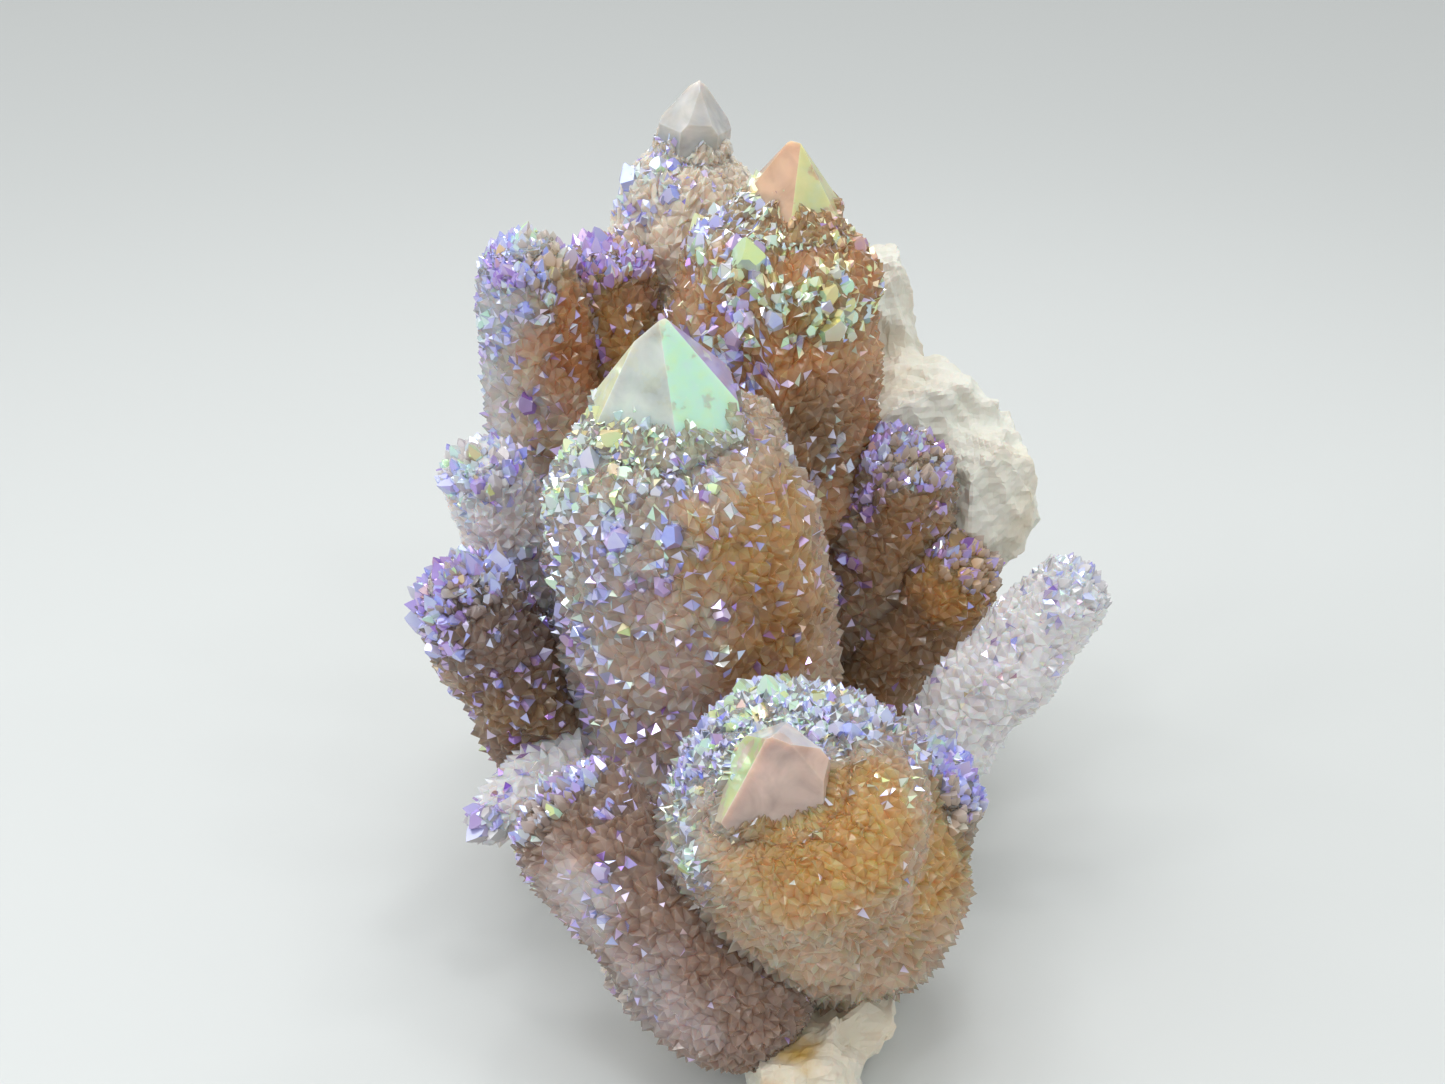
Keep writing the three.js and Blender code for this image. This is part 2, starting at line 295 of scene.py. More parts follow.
def solid_between(normals: Array, offsets: Array) -> Facets:
    """Convex solid bounded by planes: every point p with normal . p <= offset for all of them.

    Its corners are the meeting points of three planes that no other plane cuts off, and a face is the corners
    on one plane in order of angle about the face's middle.

    Args:
        normals: outward unit normals, one a row.
        offsets: distance of each plane from the origin.

    Returns:
        The solid's faces, without named values.
    """
    triples = np.array(list(itertools.combinations(range(len(normals)), 3)))
    matrices = normals[triples]
    meets = np.abs(np.linalg.det(matrices)) > 1e-7
    corners = np.linalg.solve(matrices[meets], offsets[triples[meets]][..., None])[..., 0]
    corners = corners[(corners @ normals.T <= offsets + 1e-7).all(axis=1)]
    corners = np.unique(corners.round(7), axis=0)
    loops: list[Array] = []
    for normal, offset in zip(normals, offsets):
        on_face = np.flatnonzero(np.abs(corners @ normal - offset) < 1e-5)
        if len(on_face) < 3:
            continue
        side, other = square_to(normal[None])
        spread = corners[on_face] - corners[on_face].mean(axis=0)
        loops.append(on_face[np.argsort(np.arctan2(spread @ other[0], spread @ side[0]))])
    return Facets(corners, np.concatenate(loops), np.array([len(loop) for loop in loops]))


# -------- small crystals


@dataclass(frozen=True)
class QuartzHabit:
    """Unit quartz crystal along +Z: a prism of radius about one, cut below at its foot, under a pointed tip.

    Three of its six tip faces lie closer to the middle than the other three. Every face is moved in or out at
    random, so that no two crystals look alike.

    Attributes:
        foot: depth of the foot below the origin.
        tip_angle: angle between a tip face's normal and the axis.
        inset: distance of the prism faces from the axis.
        recess: how much farther out three of the tip faces lie.
        spread: most that a face is moved.
    """

    foot: float = 0.9
    tip_angle: float = math.radians(51.8)
    inset: float = 0.88
    recess: float = 0.2
    spread: float = 0.13

    def shape(self, rng: np.random.Generator) -> Facets:
        """One random crystal of this habit.

        Args:
            rng: source of the random face distances.

        Returns:
            The crystal's faces, with its height above the foot from 0 to 1 as point value rise.
        """
        around = np.arange(6) * math.pi / 3
        ring = np.column_stack([np.cos(around), np.sin(around), np.zeros(6)])
        sine, cosine = math.sin(self.tip_angle), math.cos(self.tip_angle)
        normals = np.vstack([ring, sine * ring + [0, 0, cosine], [[0.0, 0.0, -1.0]]])
        recess = np.where(np.arange(6) % 2, self.recess, 0.0)
        prism_offsets = self.inset + rng.uniform(-1, 1, 6) * self.spread
        tip_offsets = sine * self.inset + recess + rng.uniform(-1, 1, 6) * self.spread
        crystal = solid_between(normals, np.concatenate([prism_offsets, tip_offsets, [self.foot]]))
        height = crystal.vertices[:, 2]
        crystal.point_values["rise"] = (height + self.foot) / (height.max() + self.foot)
        return crystal


@dataclass
class Druse:
    """Small single crystals, one a row.

    Attributes:
        places: where they stand, in millimetres in the growing frame.
        axes: unit vectors from foot to tip.
        radii: their radii in millimetres.
        stretches: how much each one is stretched along its axis.
        habit: their form.
        shapes: number of different forms among them.
    """

    places: Array
    axes: Array
    radii: Array
    stretches: Array
    habit: QuartzHabit = QuartzHabit()
    shapes: int = 12

    def facets(self, rng: np.random.Generator) -> Facets:
        """All crystals as one set of faces.

        A crystal's corner lands at place + radius * (x * side + y * other + stretch * z * axis), where side
        and other are turned about the axis by a random angle.

        Args:
            rng: source of the random forms and turns.

        Returns:
            The faces, with the point value rise, and the number of their crystal as face value grain.
        """
        which = rng.integers(0, self.shapes, len(self.places))
        turns = rng.uniform(0, 2 * math.pi, len(self.places))
        side, other = square_to(self.axes)
        cosine, sine = np.cos(turns)[:, None], np.sin(turns)[:, None]
        side, other = side * cosine + other * sine, other * cosine - side * sine
        parts: list[Facets] = []
        for number in range(self.shapes):
            form = self.habit.shape(rng)
            rows = np.flatnonzero(which == number)
            x, y, z = (form.vertices[:, axis, None] for axis in range(3))
            flat = x * side[rows, None] + y * other[rows, None]
            tall = z * self.stretches[rows, None, None] * self.axes[rows, None]
            corners = self.places[rows, None] + self.radii[rows, None, None] * (flat + tall)
            steps = np.arange(len(rows))[:, None] * len(form.vertices)
            parts.append(
                Facets(
                    corners.reshape(-1, 3),
                    (form.corners[None] + steps).ravel(),
                    np.tile(form.sizes, len(rows)),
                    {"grain": np.repeat(rows, len(form.sizes)).astype(float)},
                    {"rise": np.tile(form.point_values["rise"], len(rows))},
                )
            )
        return Facets.joined(parts)


class Lattice:
    """Staggered lattice of six-sided pyramids round an axis, which share their lowest corners.

    Peaks stand in rings, each ring half a step past the one below. Every three neighbouring peaks have one
    low corner between them: an up corner under one peak of the next ring, a down corner under two. Each pair
    of neighbouring peaks has two facets, one on each peak, that meet along the line between the two low
    corners beside the pair. Peaks are numbered first, ring by ring, then the up and then the down corners.
    """

    def __init__(self, rows: int, columns: int) -> None:
        """Numbers the peaks round every low corner.

        Args:
            rows: number of rings.
            columns: peaks in a ring.
        """
        self.rows, self.columns = rows, columns
        self.ring, self.column = np.meshgrid(np.arange(rows - 1), np.arange(columns), indexing="ij")
        self.lower, self.beside = self._peak(0, 0), self._peak(0, 1)
        self.upper_left, self.upper = self._peak(1, self.ring % 2 - 1), self._peak(1, self.ring % 2)

    def _peak(self, up: int, along: int | Array) -> Array:
        """Numbers of the peaks some rings above and some columns along from every peak but the top ring's."""
        return (self.ring + up) * self.columns + (self.column + along) % self.columns

    def low_corners(self, feet: Array) -> Array:
        """Places of the low corners: each is the mean of the feet of the three peaks round it.

        Args:
            feet: places on the surface under the peaks, ring by ring.

        Returns:
            The up corners, then the down corners.
        """
        feet = feet.reshape(-1, 3)
        up = (feet[self.lower] + feet[self.beside] + feet[self.upper]) / 3
        down = (feet[self.lower] + feet[self.upper_left] + feet[self.upper]) / 3
        return np.stack([up, down])

    def facets(self) -> Array:
        """Joins peaks and low corners into facets.

        Returns:
            Numbers of each facet's three corners, its peak first, one facet a row.
        """
        up = self.rows * self.columns + np.arange(self.ring.size).reshape(self.ring.shape)
        down = up + self.ring.size
        next_down = np.roll(down, -1, axis=1)
        under = np.take_along_axis(down, (self.column + 1 - self.ring % 2) % self.columns, axis=1)
        facets = (
            (self.lower, down, up),
            (self.upper, up, down),
            (self.beside, up, next_down),
            (self.upper, next_down, up),
            (self.lower[1:], up[1:], under[:-1]),
            (self.beside[1:], under[:-1], up[1:]),
            (self.lower[:1], up[:1], self.beside[:1]),
            (self._peak(1, 0)[-1:], self._peak(1, 1)[-1:], under[-1:]),
        )
        return np.concatenate([np.stack(facet, axis=-1).reshape(-1, 3) for facet in facets])


# -------- large points


@dataclass(frozen=True)
class Growth:
    """How every point's crust grows, with lengths in millimetres.

    Attributes:
        lump_pitch: distance between the lumps of a body.
        lump_height: their height.
        crust_foot: part of the axis below the crust.
        heart_foot: part of the axis below the heart.
        heart_grid: rings of the heart, and corners in each.
        heart_swell: height of the heart's own small swellings, and distance between them.
        heart_room: how far below the crust's top the heart ends.
        ring_step: distance between two rings of pyramids, beside that between two pyramids of a ring.
        narrowest: least width of a pyramid, as a part of the pitch.
        peak_stray: how far peaks stray from the lattice, as a part of its steps.
        low_stray: how far low corners stray, as a part of the pitch.
        sharpness: least and most height of a pyramid, beside the point's relief.
        lean: how far crystals lean towards the tip at the foot, and how much this varies.
        crust_lean: how much more pyramids lean near the shoulder, and the part of its height where they lean
            most.
        single_lean: the same for single crystals.
        measures: heights at which the crust's outline is measured.
        rough_measures: heights at which a band of single crystals is measured.
        crust_floor: height of the crust's lowest corners above the table.
        heart_floor: height of the heart's lowest corners.
        open_height: height above which crystals stand free of the table.
        plate_depth: how deep a film plate may lie inside a neighbour.
        single_depth: how deep a single crystal may stand inside one.
        dome_height: height of a blunt point's dome, beside a termination's.
        dome_cover: part of that height that crystals cover.
        body_cover: part of a blunt body's height that they cover.
        bare_tip: radius under which separate crystals close a dome, as a part of the girth.
        rim_painted_shade: brightness of those crystals and of those round a termination beside the crust's
            own body
        colour: painted shade, so that these opaque crystals look as dark as the clear crust around them.
        collar_lift: how far the crust that climbs a termination stands off it.
        collar_raggedness: how ragged it ends.
        collar_flatness: how much flatter its pyramids are.
        collar_sink: how deep its last ring dips into the termination, as a part of the cap's radius.
        height_stray: how far single crystals stray along the axis.
        angle_stray: how far they stray round it, in radians.
        film_odds: coverage at which no film-bound crystal grows, and at which all do.
        stretch: least and most stretch of a crystal, beside its sort's.
        length: a crystal's length beside its radius times its stretch.
        clearance: least height of a crystal's tip above the table, and of its foot.
        plate_thickness: thickness of a film plate.
        plate_width: its width beside its facet's.
        plate_film: film strength from which a facet gets a plate.
    """

    lump_pitch: float = 6.5
    lump_height: float = 0.35
    crust_foot: float = 0.015
    heart_foot: float = 0.02
    heart_grid: tuple[int, int] = (64, 80)
    heart_swell: Pair = (0.12, 2.2)
    heart_room: float = 0.5
    ring_step: float = 0.87
    narrowest: float = 0.5
    peak_stray: float = 0.17
    low_stray: float = 0.13
    sharpness: Pair = (0.25, 1.6)
    lean: Pair = (0.1, 0.2)
    crust_lean: Pair = (0.6, 0.9)
    single_lean: Pair = (0.8, 0.95)
    measures: int = 600
    rough_measures: int = 300
    crust_floor: float = 0.3
    heart_floor: float = 0.6
    open_height: float = 0.5
    plate_depth: float = 0.4
    single_depth: float = 0.3
    dome_height: float = 0.6
    dome_cover: float = 0.97
    body_cover: float = 0.998
    bare_tip: float = 0.3
    rim_painted_shade: float = 0.62
    collar_lift: float = 0.3
    collar_raggedness: float = 1.2
    collar_flatness: float = 0.5
    collar_sink: float = 0.5
    height_stray: float = 0.5
    angle_stray: float = 0.1
    film_odds: Pair = (0.12, 0.4)
    stretch: Pair = (0.8, 1.25)
    length: float = 1.3
    clearance: Pair = (0.35, 0.05)
    plate_thickness: float = 0.04
    plate_width: float = 0.96
    plate_film: float = 0.35


GROWTH = Growth()


@dataclass(frozen=True)
class Variation:
    """How film and body colour vary over a point, the same for every point.

    A noise is given as the distance between its crests in millimetres and its strength, and a step as the two
    values between which it rises.

    Attributes:
        highest: part of the shoulder's height above which nothing changes any more.
        coverage_noise: noise in the share of facets that carry film.
        coverage_step: step of that share from the side away from the rim to the rim side.
        coverage_rise: how much that share gains with height, and at which part of the shoulder's height the
            gain is zero.
        painted_glint_facing: direction up and to the front in which faces with film look, besides the rim
            side, and
        weight of the rim side: faces that look that way, towards the lamps and the camera, get painted
            glints.
        facing_step: step of a face's chance of film as it turns that way.
        facing_gain: that chance on a face that looks away, and how much greater it is on one that doesn't.
        film_step: step of the film's strength as a face's chance passes its luck.
        shared_luck: part of a face's luck that it shares with its crystal.
        film_limits: strength of the faintest and the thinnest film beside the thickest.
        phase: spread of the film's phase from crystal to crystal and from face to face.
        phase_noise: noise in the phase.
        shade: spread of the body colour's brightness from crystal to crystal and from face to face.
        body_limits: darkest and lightest body colour.
        skin_noise: noise in the change from heart to skin colour.
        skin_step: step of that change from the side away from the rim to the rim side.
        glow_noise: noise in a glow's edge.
        glow_step: step of a glow's fading, in parts of its reach.
    """

    highest: float = 1.1
    coverage_noise: Pair = (7.0, 0.35)
    coverage_step: Pair = (-0.15, 1.0)
    coverage_rise: Pair = (0.9, 0.6)
    painted_glint_facing: tuple[Triple, float] = ((0.0, -0.5, 0.6), 0.7)
    facing_step: Pair = (-0.3, 0.7)
    facing_gain: Pair = (0.35, 0.9)
    film_step: Pair = (-0.04, 0.06)
    shared_luck: float = 0.85
    film_limits: Pair = (0.02, 0.45)
    phase: Pair = (0.12, 0.05)
    phase_noise: Pair = (6.0, 0.08)
    shade: Pair = (0.12, 0.08)
    body_limits: Pair = (0.01, 0.95)
    skin_noise: Pair = (9.0, 0.35)
    skin_step: Pair = (-0.6, 0.8)
    glow_noise: Pair = (4.0, 0.16)
    glow_step: Pair = (0.3, 1.0)


VARIATION = Variation()


@dataclass(frozen=True)
class Glow:
    """Patch of body colour: strongest at middle and gone at reach, both in millimetres."""

    middle: Triple
    reach: float
    colour: Body


@dataclass(frozen=True)
class Crown:
    """Smooth termination of a point that shows one.

    Its six faces are counted from the right front one, anticlockwise seen from above: right front, front,
    left front, left back, back, right back.

    Attributes:
        colour: body colour.
        cuts: how much farther out each tip face lies than one through the tip, as parts of the cap's radius.
        films: place on the film's colour scale and strength of the film on each face.
        climb: part of the tip's height up to which small crystals grow over it.
        slimness: width of the smooth prism under the collar of small crystals, as a part of the cap's.
        shift: millimetres by which it stands off the point's axis to its left and front, and above its tip.
    """

    colour: Body
    cuts: tuple[float, ...] = (0.0, 0.1, 0.0, 0.1, 0.0, 0.1)
    films: tuple[tuple[Film, float], ...] = ((Film.MINT, 0.4),) * 6
    climb: float = 0.25
    slimness: float = 0.9
    shift: Triple = (0.0, 0.0, 0.0)


@dataclass(frozen=True)
class Point:
    """One large spirit quartz point, in millimetres in the growing frame.

    Attributes:
        name: what the point is called.
        foot: where its axis starts.
        tip: where its axis ends, at the top of the termination.
        girth: radius of the body where it is thickest.
        reach: part of the axis that the body covers.
        cap: radius of the termination.
        turn: degrees by which the termination is turned about the axis.
        seed: chooses the random numbers.
        heart: body colour away from the rim side.
        skin: body colour on the rim side.
        rim_side: direction in which the skin colour and the film are strongest.
        film: place on the film's colour scale at the foot, and how far it moves up to the shoulder.
        swing: how much farther on the colour scale the film is on the point's right side than in its middle.
        coverage: share of the facets that carry a strong film, away from the rim side and on it.
        pitch: distance between the small crystals of the crust.
        relief: height of the crust's pyramids, as a part of their width.
        sunk: how far the crust's lowest corners lie below the body's outline, in millimetres.
        clear_depth: thickness of the clear crust over the coloured heart, in millimetres.
        milky: True where the crust is milky rather than clear.
        crown: the smooth termination, or None where small crystals cover it.
        glows: patches of other body colour.
    """

    name: str
    foot: Triple
    tip: Triple
    girth: float
    reach: float
    cap: float
    turn: float
    seed: int
    heart: Body = Body.TAWNY
    skin: Body = Body.MAUVE
    rim_side: Triple = (-0.5, -0.2, 0.8)
    film: Pair = (0.05, 0.2)
    swing: float = 0.0
    coverage: Pair = (0.08, 0.4)
    pitch: float = 0.95
    relief: float = 0.5
    sunk: float = 0.35
    clear_depth: float = 0.7
    milky: bool = False
    crown: Crown | None = None
    glows: tuple[Glow, ...] = ()


class Spindle:
    """Body of a large point: its outline turned about the axis from foot to tip."""

    def __init__(self, point: Point) -> None:
        """Works out the axis, the directions square to it and the smooth outline of a point.

        Args:
            point: the large point.
        """
        self.point = point
        self.foot = np.array(point.foot)
        span = np.array(point.tip) - self.foot
        self.length = float(np.linalg.norm(span))
        self.axis = span / self.length
        front = unit(FRONT - (FRONT @ self.axis) * self.axis)
        turn = math.radians(point.turn)
        self.front = front * math.cos(turn) + np.cross(self.axis, front) * math.sin(turn)
        self.side = np.cross(self.axis, self.front)
        self.heights, self.radii = self._outline()
        self.tip_base = self.length - TERMINATION_SLOPE * point.cap
        self.shoulder = SHOULDER * point.reach * self.length

    def _outline(self) -> tuple[Array, Array]:
        """Uniform Catmull-Rom curve through BODY_OUTLINE.

        Each stretch is the cubic through its two end places whose slope at either is that of the line between
        that place's two neighbours.

        Returns:
            Heights and radii along the curve.
        """
        knots = BODY_OUTLINE
        last = len(knots) - 1
        steps = np.linspace(0, last, OUTLINE_STEPS * last + 1)
        start = np.minimum(steps.astype(int), last - 1)
        part = (steps - start)[:, None]
        before, here, after, beyond = (knots[np.clip(start + shift, 0, last)] for shift in (-1, 0, 1, 2))
        tangent, next_tangent = (after - before) / 2, (beyond - here) / 2
        curve = (
            (2 * here - 2 * after + tangent + next_tangent) * part**3
            + (3 * after - 3 * here - 2 * tangent - next_tangent) * part**2
            + tangent * part
            + here
        )
        heights = np.maximum.accumulate(curve[:, 0]) * self.point.reach * self.length
        return heights + 1e-6 * np.arange(len(heights)), np.maximum(curve[:, 1], 0) * self.point.girth

    def radius(self, along: Array, covered: float) -> Array:
        """Radius of what small crystals stand on: the body, a blunt point's round dome, or its termination.

        Args:
            along: heights along the axis.
            covered: height up to which crystals cover the dome or the termination.

        Returns:
            One radius for each height.
        """
        cap = np.clip((self.length - along) / TERMINATION_SLOPE, 0, self.point.cap) * HEXAGON_INSET
        if not self.point.crown:
            part = (along - self.tip_base) / (GROWTH.dome_height * (self.length - self.tip_base))
            cap = self.point.cap * np.sqrt(1 - np.clip(part, 0, 1) ** 2)
        return np.maximum(self.body_radius(along), np.where(along <= covered, cap, 0))

    def body_radius(self, along: Array) -> Array:
        """Radius of the body alone at heights along the axis."""
        return np.interp(along, self.heights, self.radii, right=0)

    def collar(self, along: Array) -> Array:
        """One where the crust climbs the termination, above the height where the body is narrower."""
        above = along > 0.5 * self.length
        return above * smooth_step(-0.6, 0.2, self.point.cap * HEXAGON_INSET - self.body_radius(along))

    def ring(self, around: Array) -> Array:
        """Unit vectors square to the axis, at angles from the side direction towards the front."""
        return np.cos(around)[..., None] * self.side + np.sin(around)[..., None] * self.front

    def depth_of(self, places: Array) -> Array:
        """How far inside the body each place lies, measured square to the axis.

        Args:
            places: places to measure.

        Returns:
            One depth for each place, negative outside the body.
        """
        offset = places - self.foot
        along = offset @ self.axis
        away = np.linalg.norm(offset - along[:, None] * self.axis, axis=1)
        within = (along > 0) & (along < self.heights[-1])
        return np.where(within, self.body_radius(along) - away, -away)


class Termination:
    """Smooth six-sided end of a large point: prism faces, and tip faces that pass near the tip."""

    # Depth below the tip beside the axis's length, how far the prism faces vary, their share of the film, and
    # the width of the worn edges in millimetres.
    DEPTH = 0.38
    PRISM_SPREAD = 0.04
    PRISM_FILM = 0.5
    WORN_WIDTH = 0.05

    def __init__(self, spindle: Spindle, rng: np.random.Generator) -> None:
        """Works out the planes of the faces, and where their own origin lies.

        Args:
            spindle: body of the point, which has a crown.
            rng: source of the random distances of the prism faces.
        """
        cap, crown = spindle.point.cap, spindle.point.crown
        self.spindle = spindle
        ring = spindle.ring((np.arange(6) + 0.5) * math.pi / 3)
        inner = cap * HEXAGON_INSET
        across, up = unit(np.array([TERMINATION_SLOPE * cap, inner]))
        self.normals = np.vstack([ring, ring * across + spindle.axis * up, -spindle.axis])
        prism_offsets = inner * crown.slimness * (1 + rng.uniform(-self.PRISM_SPREAD, self.PRISM_SPREAD, 6))
        depth = self.DEPTH * spindle.length
        self.offsets = np.concatenate([prism_offsets, np.array(crown.cuts) * cap, [depth]])
        self.form = solid_between(self.normals, self.offsets)
        highest = (self.form.vertices @ spindle.axis).max()
        shift = np.array(crown.shift) @ np.stack([spindle.side, spindle.front, spindle.axis])
        self.origin = np.array(spindle.point.tip) - spindle.axis * highest + shift

    def radius(self, along: Array, around: Array) -> Array:
        """Distance from the axis to the nearest face: room / (normal . ring), where a face looks that way.

        Args:
            along: heights along the axis.
            around: angles about it.

        Returns:
            One distance for each height and angle.
        """
        start = self.spindle.foot + along[..., None] * self.spindle.axis - self.origin
        sides, offsets = self.normals[:-1], self.offsets[:-1]
        room = offsets - start @ sides.T
        towards = self.spindle.ring(around) @ sides.T
        least = 0.05
        return np.where(towards > least, room / np.maximum(towards, least), np.inf).min(axis=-1)

    def facets(self) -> Facets:
        """The faces where they belong.

        Returns:
            The faces, with the values that the finish reads.
        """
        crown = self.spindle.point.crown
        which = (self.form.normals() @ self.normals.T).argmax(axis=1)
        strengths = np.array([strength for _, strength in crown.films])[which % 6]
        return Facets(
            self.form.vertices + self.origin,
            self.form.corners,
            self.form.sizes,
            {
                "phase": np.array([film.place for film, _ in crown.films])[which % 6],
                "film": np.where(which < 6, self.PRISM_FILM, 1.0) * strengths,
                "body": np.tile(crown.colour.value, (len(which), 1)),
            },
            {"rise": np.ones(len(self.form.vertices))},
        )


class SpiritPoint:
    """Builds and dresses one large point: its crust, the crystals that stand out of it, its termination."""

    def __init__(self, point: Point, neighbours: list[Spindle], stone: "Stone") -> None:
        """Keeps the point's body, and what its crystals must not grow into.

        Args:
            point: the large point.
            neighbours: bodies of all the points.
            stone: the stone that they grew on.
        """
        self.point = point
        self.spindle = Spindle(point)
        self.neighbours = [other for other in neighbours if other.point.name != point.name]
        self.stone = stone
        self.rng = np.random.default_rng(point.seed)
        self.rim = unit(np.array(point.rim_side))
        tip_height = self.spindle.length - self.spindle.tip_base
        climb = point.crown.climb if point.crown else GROWTH.dome_cover * GROWTH.dome_height
        end = 0.0 if point.crown else GROWTH.body_cover * self.spindle.heights[-1]
        self.termination = Termination(self.spindle, self.rng) if point.crown else None
        self.covered = max(self.spindle.tip_base + climb * tip_height, end)

    # -- forms

    def _radius(self, along: Array, around: Array) -> Array:
        """Radius of what the crust stands on: the body, or the termination where it is wider.

        Args:
            along: heights along the axis.
            around: angles about it.

        Returns:
            One radius for each height and angle.
        """
        if not self.termination:
            return self.spindle.radius(along, self.covered) + 0 * around
        return np.maximum(self.spindle.body_radius(along), self.termination.radius(along, around))

    def _surface(self, along: Array, around: Array, lift: float | Array) -> Array:
        """Places on the lumpy surface under the crust.

        Args:
            along: heights along the axis.
            around: angles about it.
            lift: how far the places stand off the surface, square to the axis.

        Returns:
            One place for each height and angle.
        """
        spindle, ring = self.spindle, self.spindle.ring(around)
        radius = self._radius(along, around)
        place = spindle.foot + along[..., None] * spindle.axis + radius[..., None] * ring
        lumps = soft_noise(place.reshape(-1, 3), GROWTH.lump_pitch, self.point.seed + 3).reshape(radius.shape)
        body = smooth_step(0.3, 0.7, radius / self.point.girth)
        least = 0.03
        height = np.maximum(lift + GROWTH.lump_height * body * lumps, least - radius)
        return place + height[..., None] * ring

    def _outward(self, along: Array, around: Array) -> Array:
        """Outward unit normals: the ring direction less the slope of the outline times the axis.

        Args:
            along: heights along the axis.
            around: angles about it.

        Returns:
            One normal for each height and angle.
        """
        step, steepest = 0.4, 2.5
        above, below = (self.spindle.radius(along + side, self.covered) for side in (step, -step))
        slope = np.clip((above - below) / (2 * step), -steepest, steepest)
        return unit(self.spindle.ring(around) - slope[..., None] * self.spindle.axis)

    def _lean(self, along: Array, gain: float, full: float) -> Array:
        """How far crystals lean towards the tip, more and more with their height.

        Args:
            along: heights along the axis.
            gain: how much more they lean near the shoulder than at the foot.
            full: part of the shoulder's height at which they lean most.

        Returns:
            The axis's share in each crystal's direction, as a last axis of length one.
        """
        least, spread = GROWTH.lean
        part = smooth_step(0.1, full, along / self.spindle.shoulder)
        return (least + gain * part + self.rng.normal(0, spread, along.shape))[..., None]

    def _crust_top(self, angles: Array) -> Array:
        """Heights where the crust ends: raggedly up a termination, or where a blunt point grows too narrow.

        Args:
            angles: angles about the axis.

        Returns:
            One height for each angle.
        """
        spindle = self.spindle
        if self.termination:
            ragged = GROWTH.collar_raggedness * np.abs(soft_noise(spindle.ring(angles), 0.9, self.point.seed))
            return np.maximum(self.covered - ragged, spindle.heights[-1] + 0.25)
        heights = np.linspace(0.5 * spindle.length, self.covered, GROWTH.rough_measures)
        wide = spindle.radius(heights, self.covered) > GROWTH.bare_tip * self.point.girth
        return np.full(len(angles), heights[np.flatnonzero(wide)[-1]])

    def _cell(self, radii: Array, columns: int) -> Array:
        """Width of a pyramid: the ring's length / columns, but not too little."""
        return np.maximum(2 * math.pi * radii / columns, GROWTH.narrowest * self.point.pitch)

    def _peak_places(self) -> tuple[Array, Array]:
        """Where the crust's peaks stand: in staggered rings, evenly spaced along the slope of the surface.

        Returns:
            Heights and angles, one ring a row.
        """
        spindle, point, rng = self.spindle, self.point, self.rng
        columns = round(2 * math.pi * point.girth / point.pitch)
        angles = np.arange(columns) * 2 * math.pi / columns
        foot = GROWTH.crust_foot * spindle.length
        heights = np.linspace(foot, self._crust_top(angles), GROWTH.measures)
        radii = self._radius(heights, angles[None])
        slant = np.hypot(np.gradient(radii, axis=0), np.gradient(heights, axis=0))
        share = np.cumsum(slant / (GROWTH.ring_step * self._cell(radii, columns)), axis=0)
        rows = int(share[-1].mean())
        i, j = np.meshgrid(np.arange(rows), np.arange(columns), indexing="ij")
        steps = (i + 0.5 + rng.normal(0, GROWTH.peak_stray, i.shape)) / rows * share[-1]
        along = [np.interp(steps[:, k], share[:, k], heights[:, k]) for k in range(columns)]
        around = (j + 0.5 * (i % 2) + rng.normal(0, GROWTH.peak_stray, i.shape)) * 2 * math.pi / columns
        return np.stack(along, axis=1), around

    def _crust(self) -> Facets:
        """Connected crust of small pyramids, a closed solid.

        Returns:
            The faces, with the point value rise, and the number of their third of a pyramid as grain.
        """
        spindle, point, rng = self.spindle, self.point, self.rng
        along, around = self._peak_places()
        lattice = Lattice(*along.shape)
        collar = spindle.collar(along)
        lift = -point.sunk + collar * (point.sunk + GROWTH.collar_lift)
        if point.crown:
            lift[-1] = -GROWTH.collar_sink * point.cap
        base = self._surface(along, around, lift)
        towards = unit(self._outward(along, around) + self._lean(along, *GROWTH.crust_lean) * spindle.axis)
        width = self._cell(self._radius(along, around), lattice.columns)
        heights = point.relief * rng.uniform(*GROWTH.sharpness, along.shape) * width
        heights *= 1 - GROWTH.collar_flatness * collar
        lows = lattice.low_corners(base)
        lows = lows + rng.normal(0, GROWTH.low_stray, lows.shape) * point.pitch
        peaks = base + heights[..., None] * towards
        vertices = np.concatenate([peaks.reshape(-1, 3), lows.reshape(-1, 3)])
        vertices[:, 2] = np.maximum(vertices[:, 2], GROWTH.crust_floor)
        facets = lattice.facets()
        crust = closed_tube(vertices, facets, *along.shape)
        crust.face_values["grain"] = self._thirds(crust, facets[:, 0], around)
        crust.point_values["rise"] = (np.arange(len(vertices)) < around.size).astype(float)
        return crust

    def _thirds(self, crust: Facets, peaks: Array, around: Array) -> Array:
        """Numbers of the thirds of pyramids that facets belong to, so that about two facets read as one face.

        Args:
            crust: the crust's faces.
            peaks: the peak of each facet.
            around: angle about the axis of every peak.

        Returns:
            One number for each facet, and zero for the two end faces.
        """
        spindle = self.spindle
        sideways = -np.sin(around)[..., None] * spindle.side + np.cos(around)[..., None] * spindle.front
        away = crust.middles()[: len(peaks)] - crust.vertices[peaks]
        angle = np.arctan2(away @ spindle.axis, (away * sideways.reshape(-1, 3)[peaks]).sum(axis=1))
        start = self.rng.uniform(0, 3, around.size)[peaks]
        third = np.floor(angle * 3 / (2 * math.pi) + start) % 3
        return np.concatenate([peaks * 3 + third, [0, 0]]).astype(float)

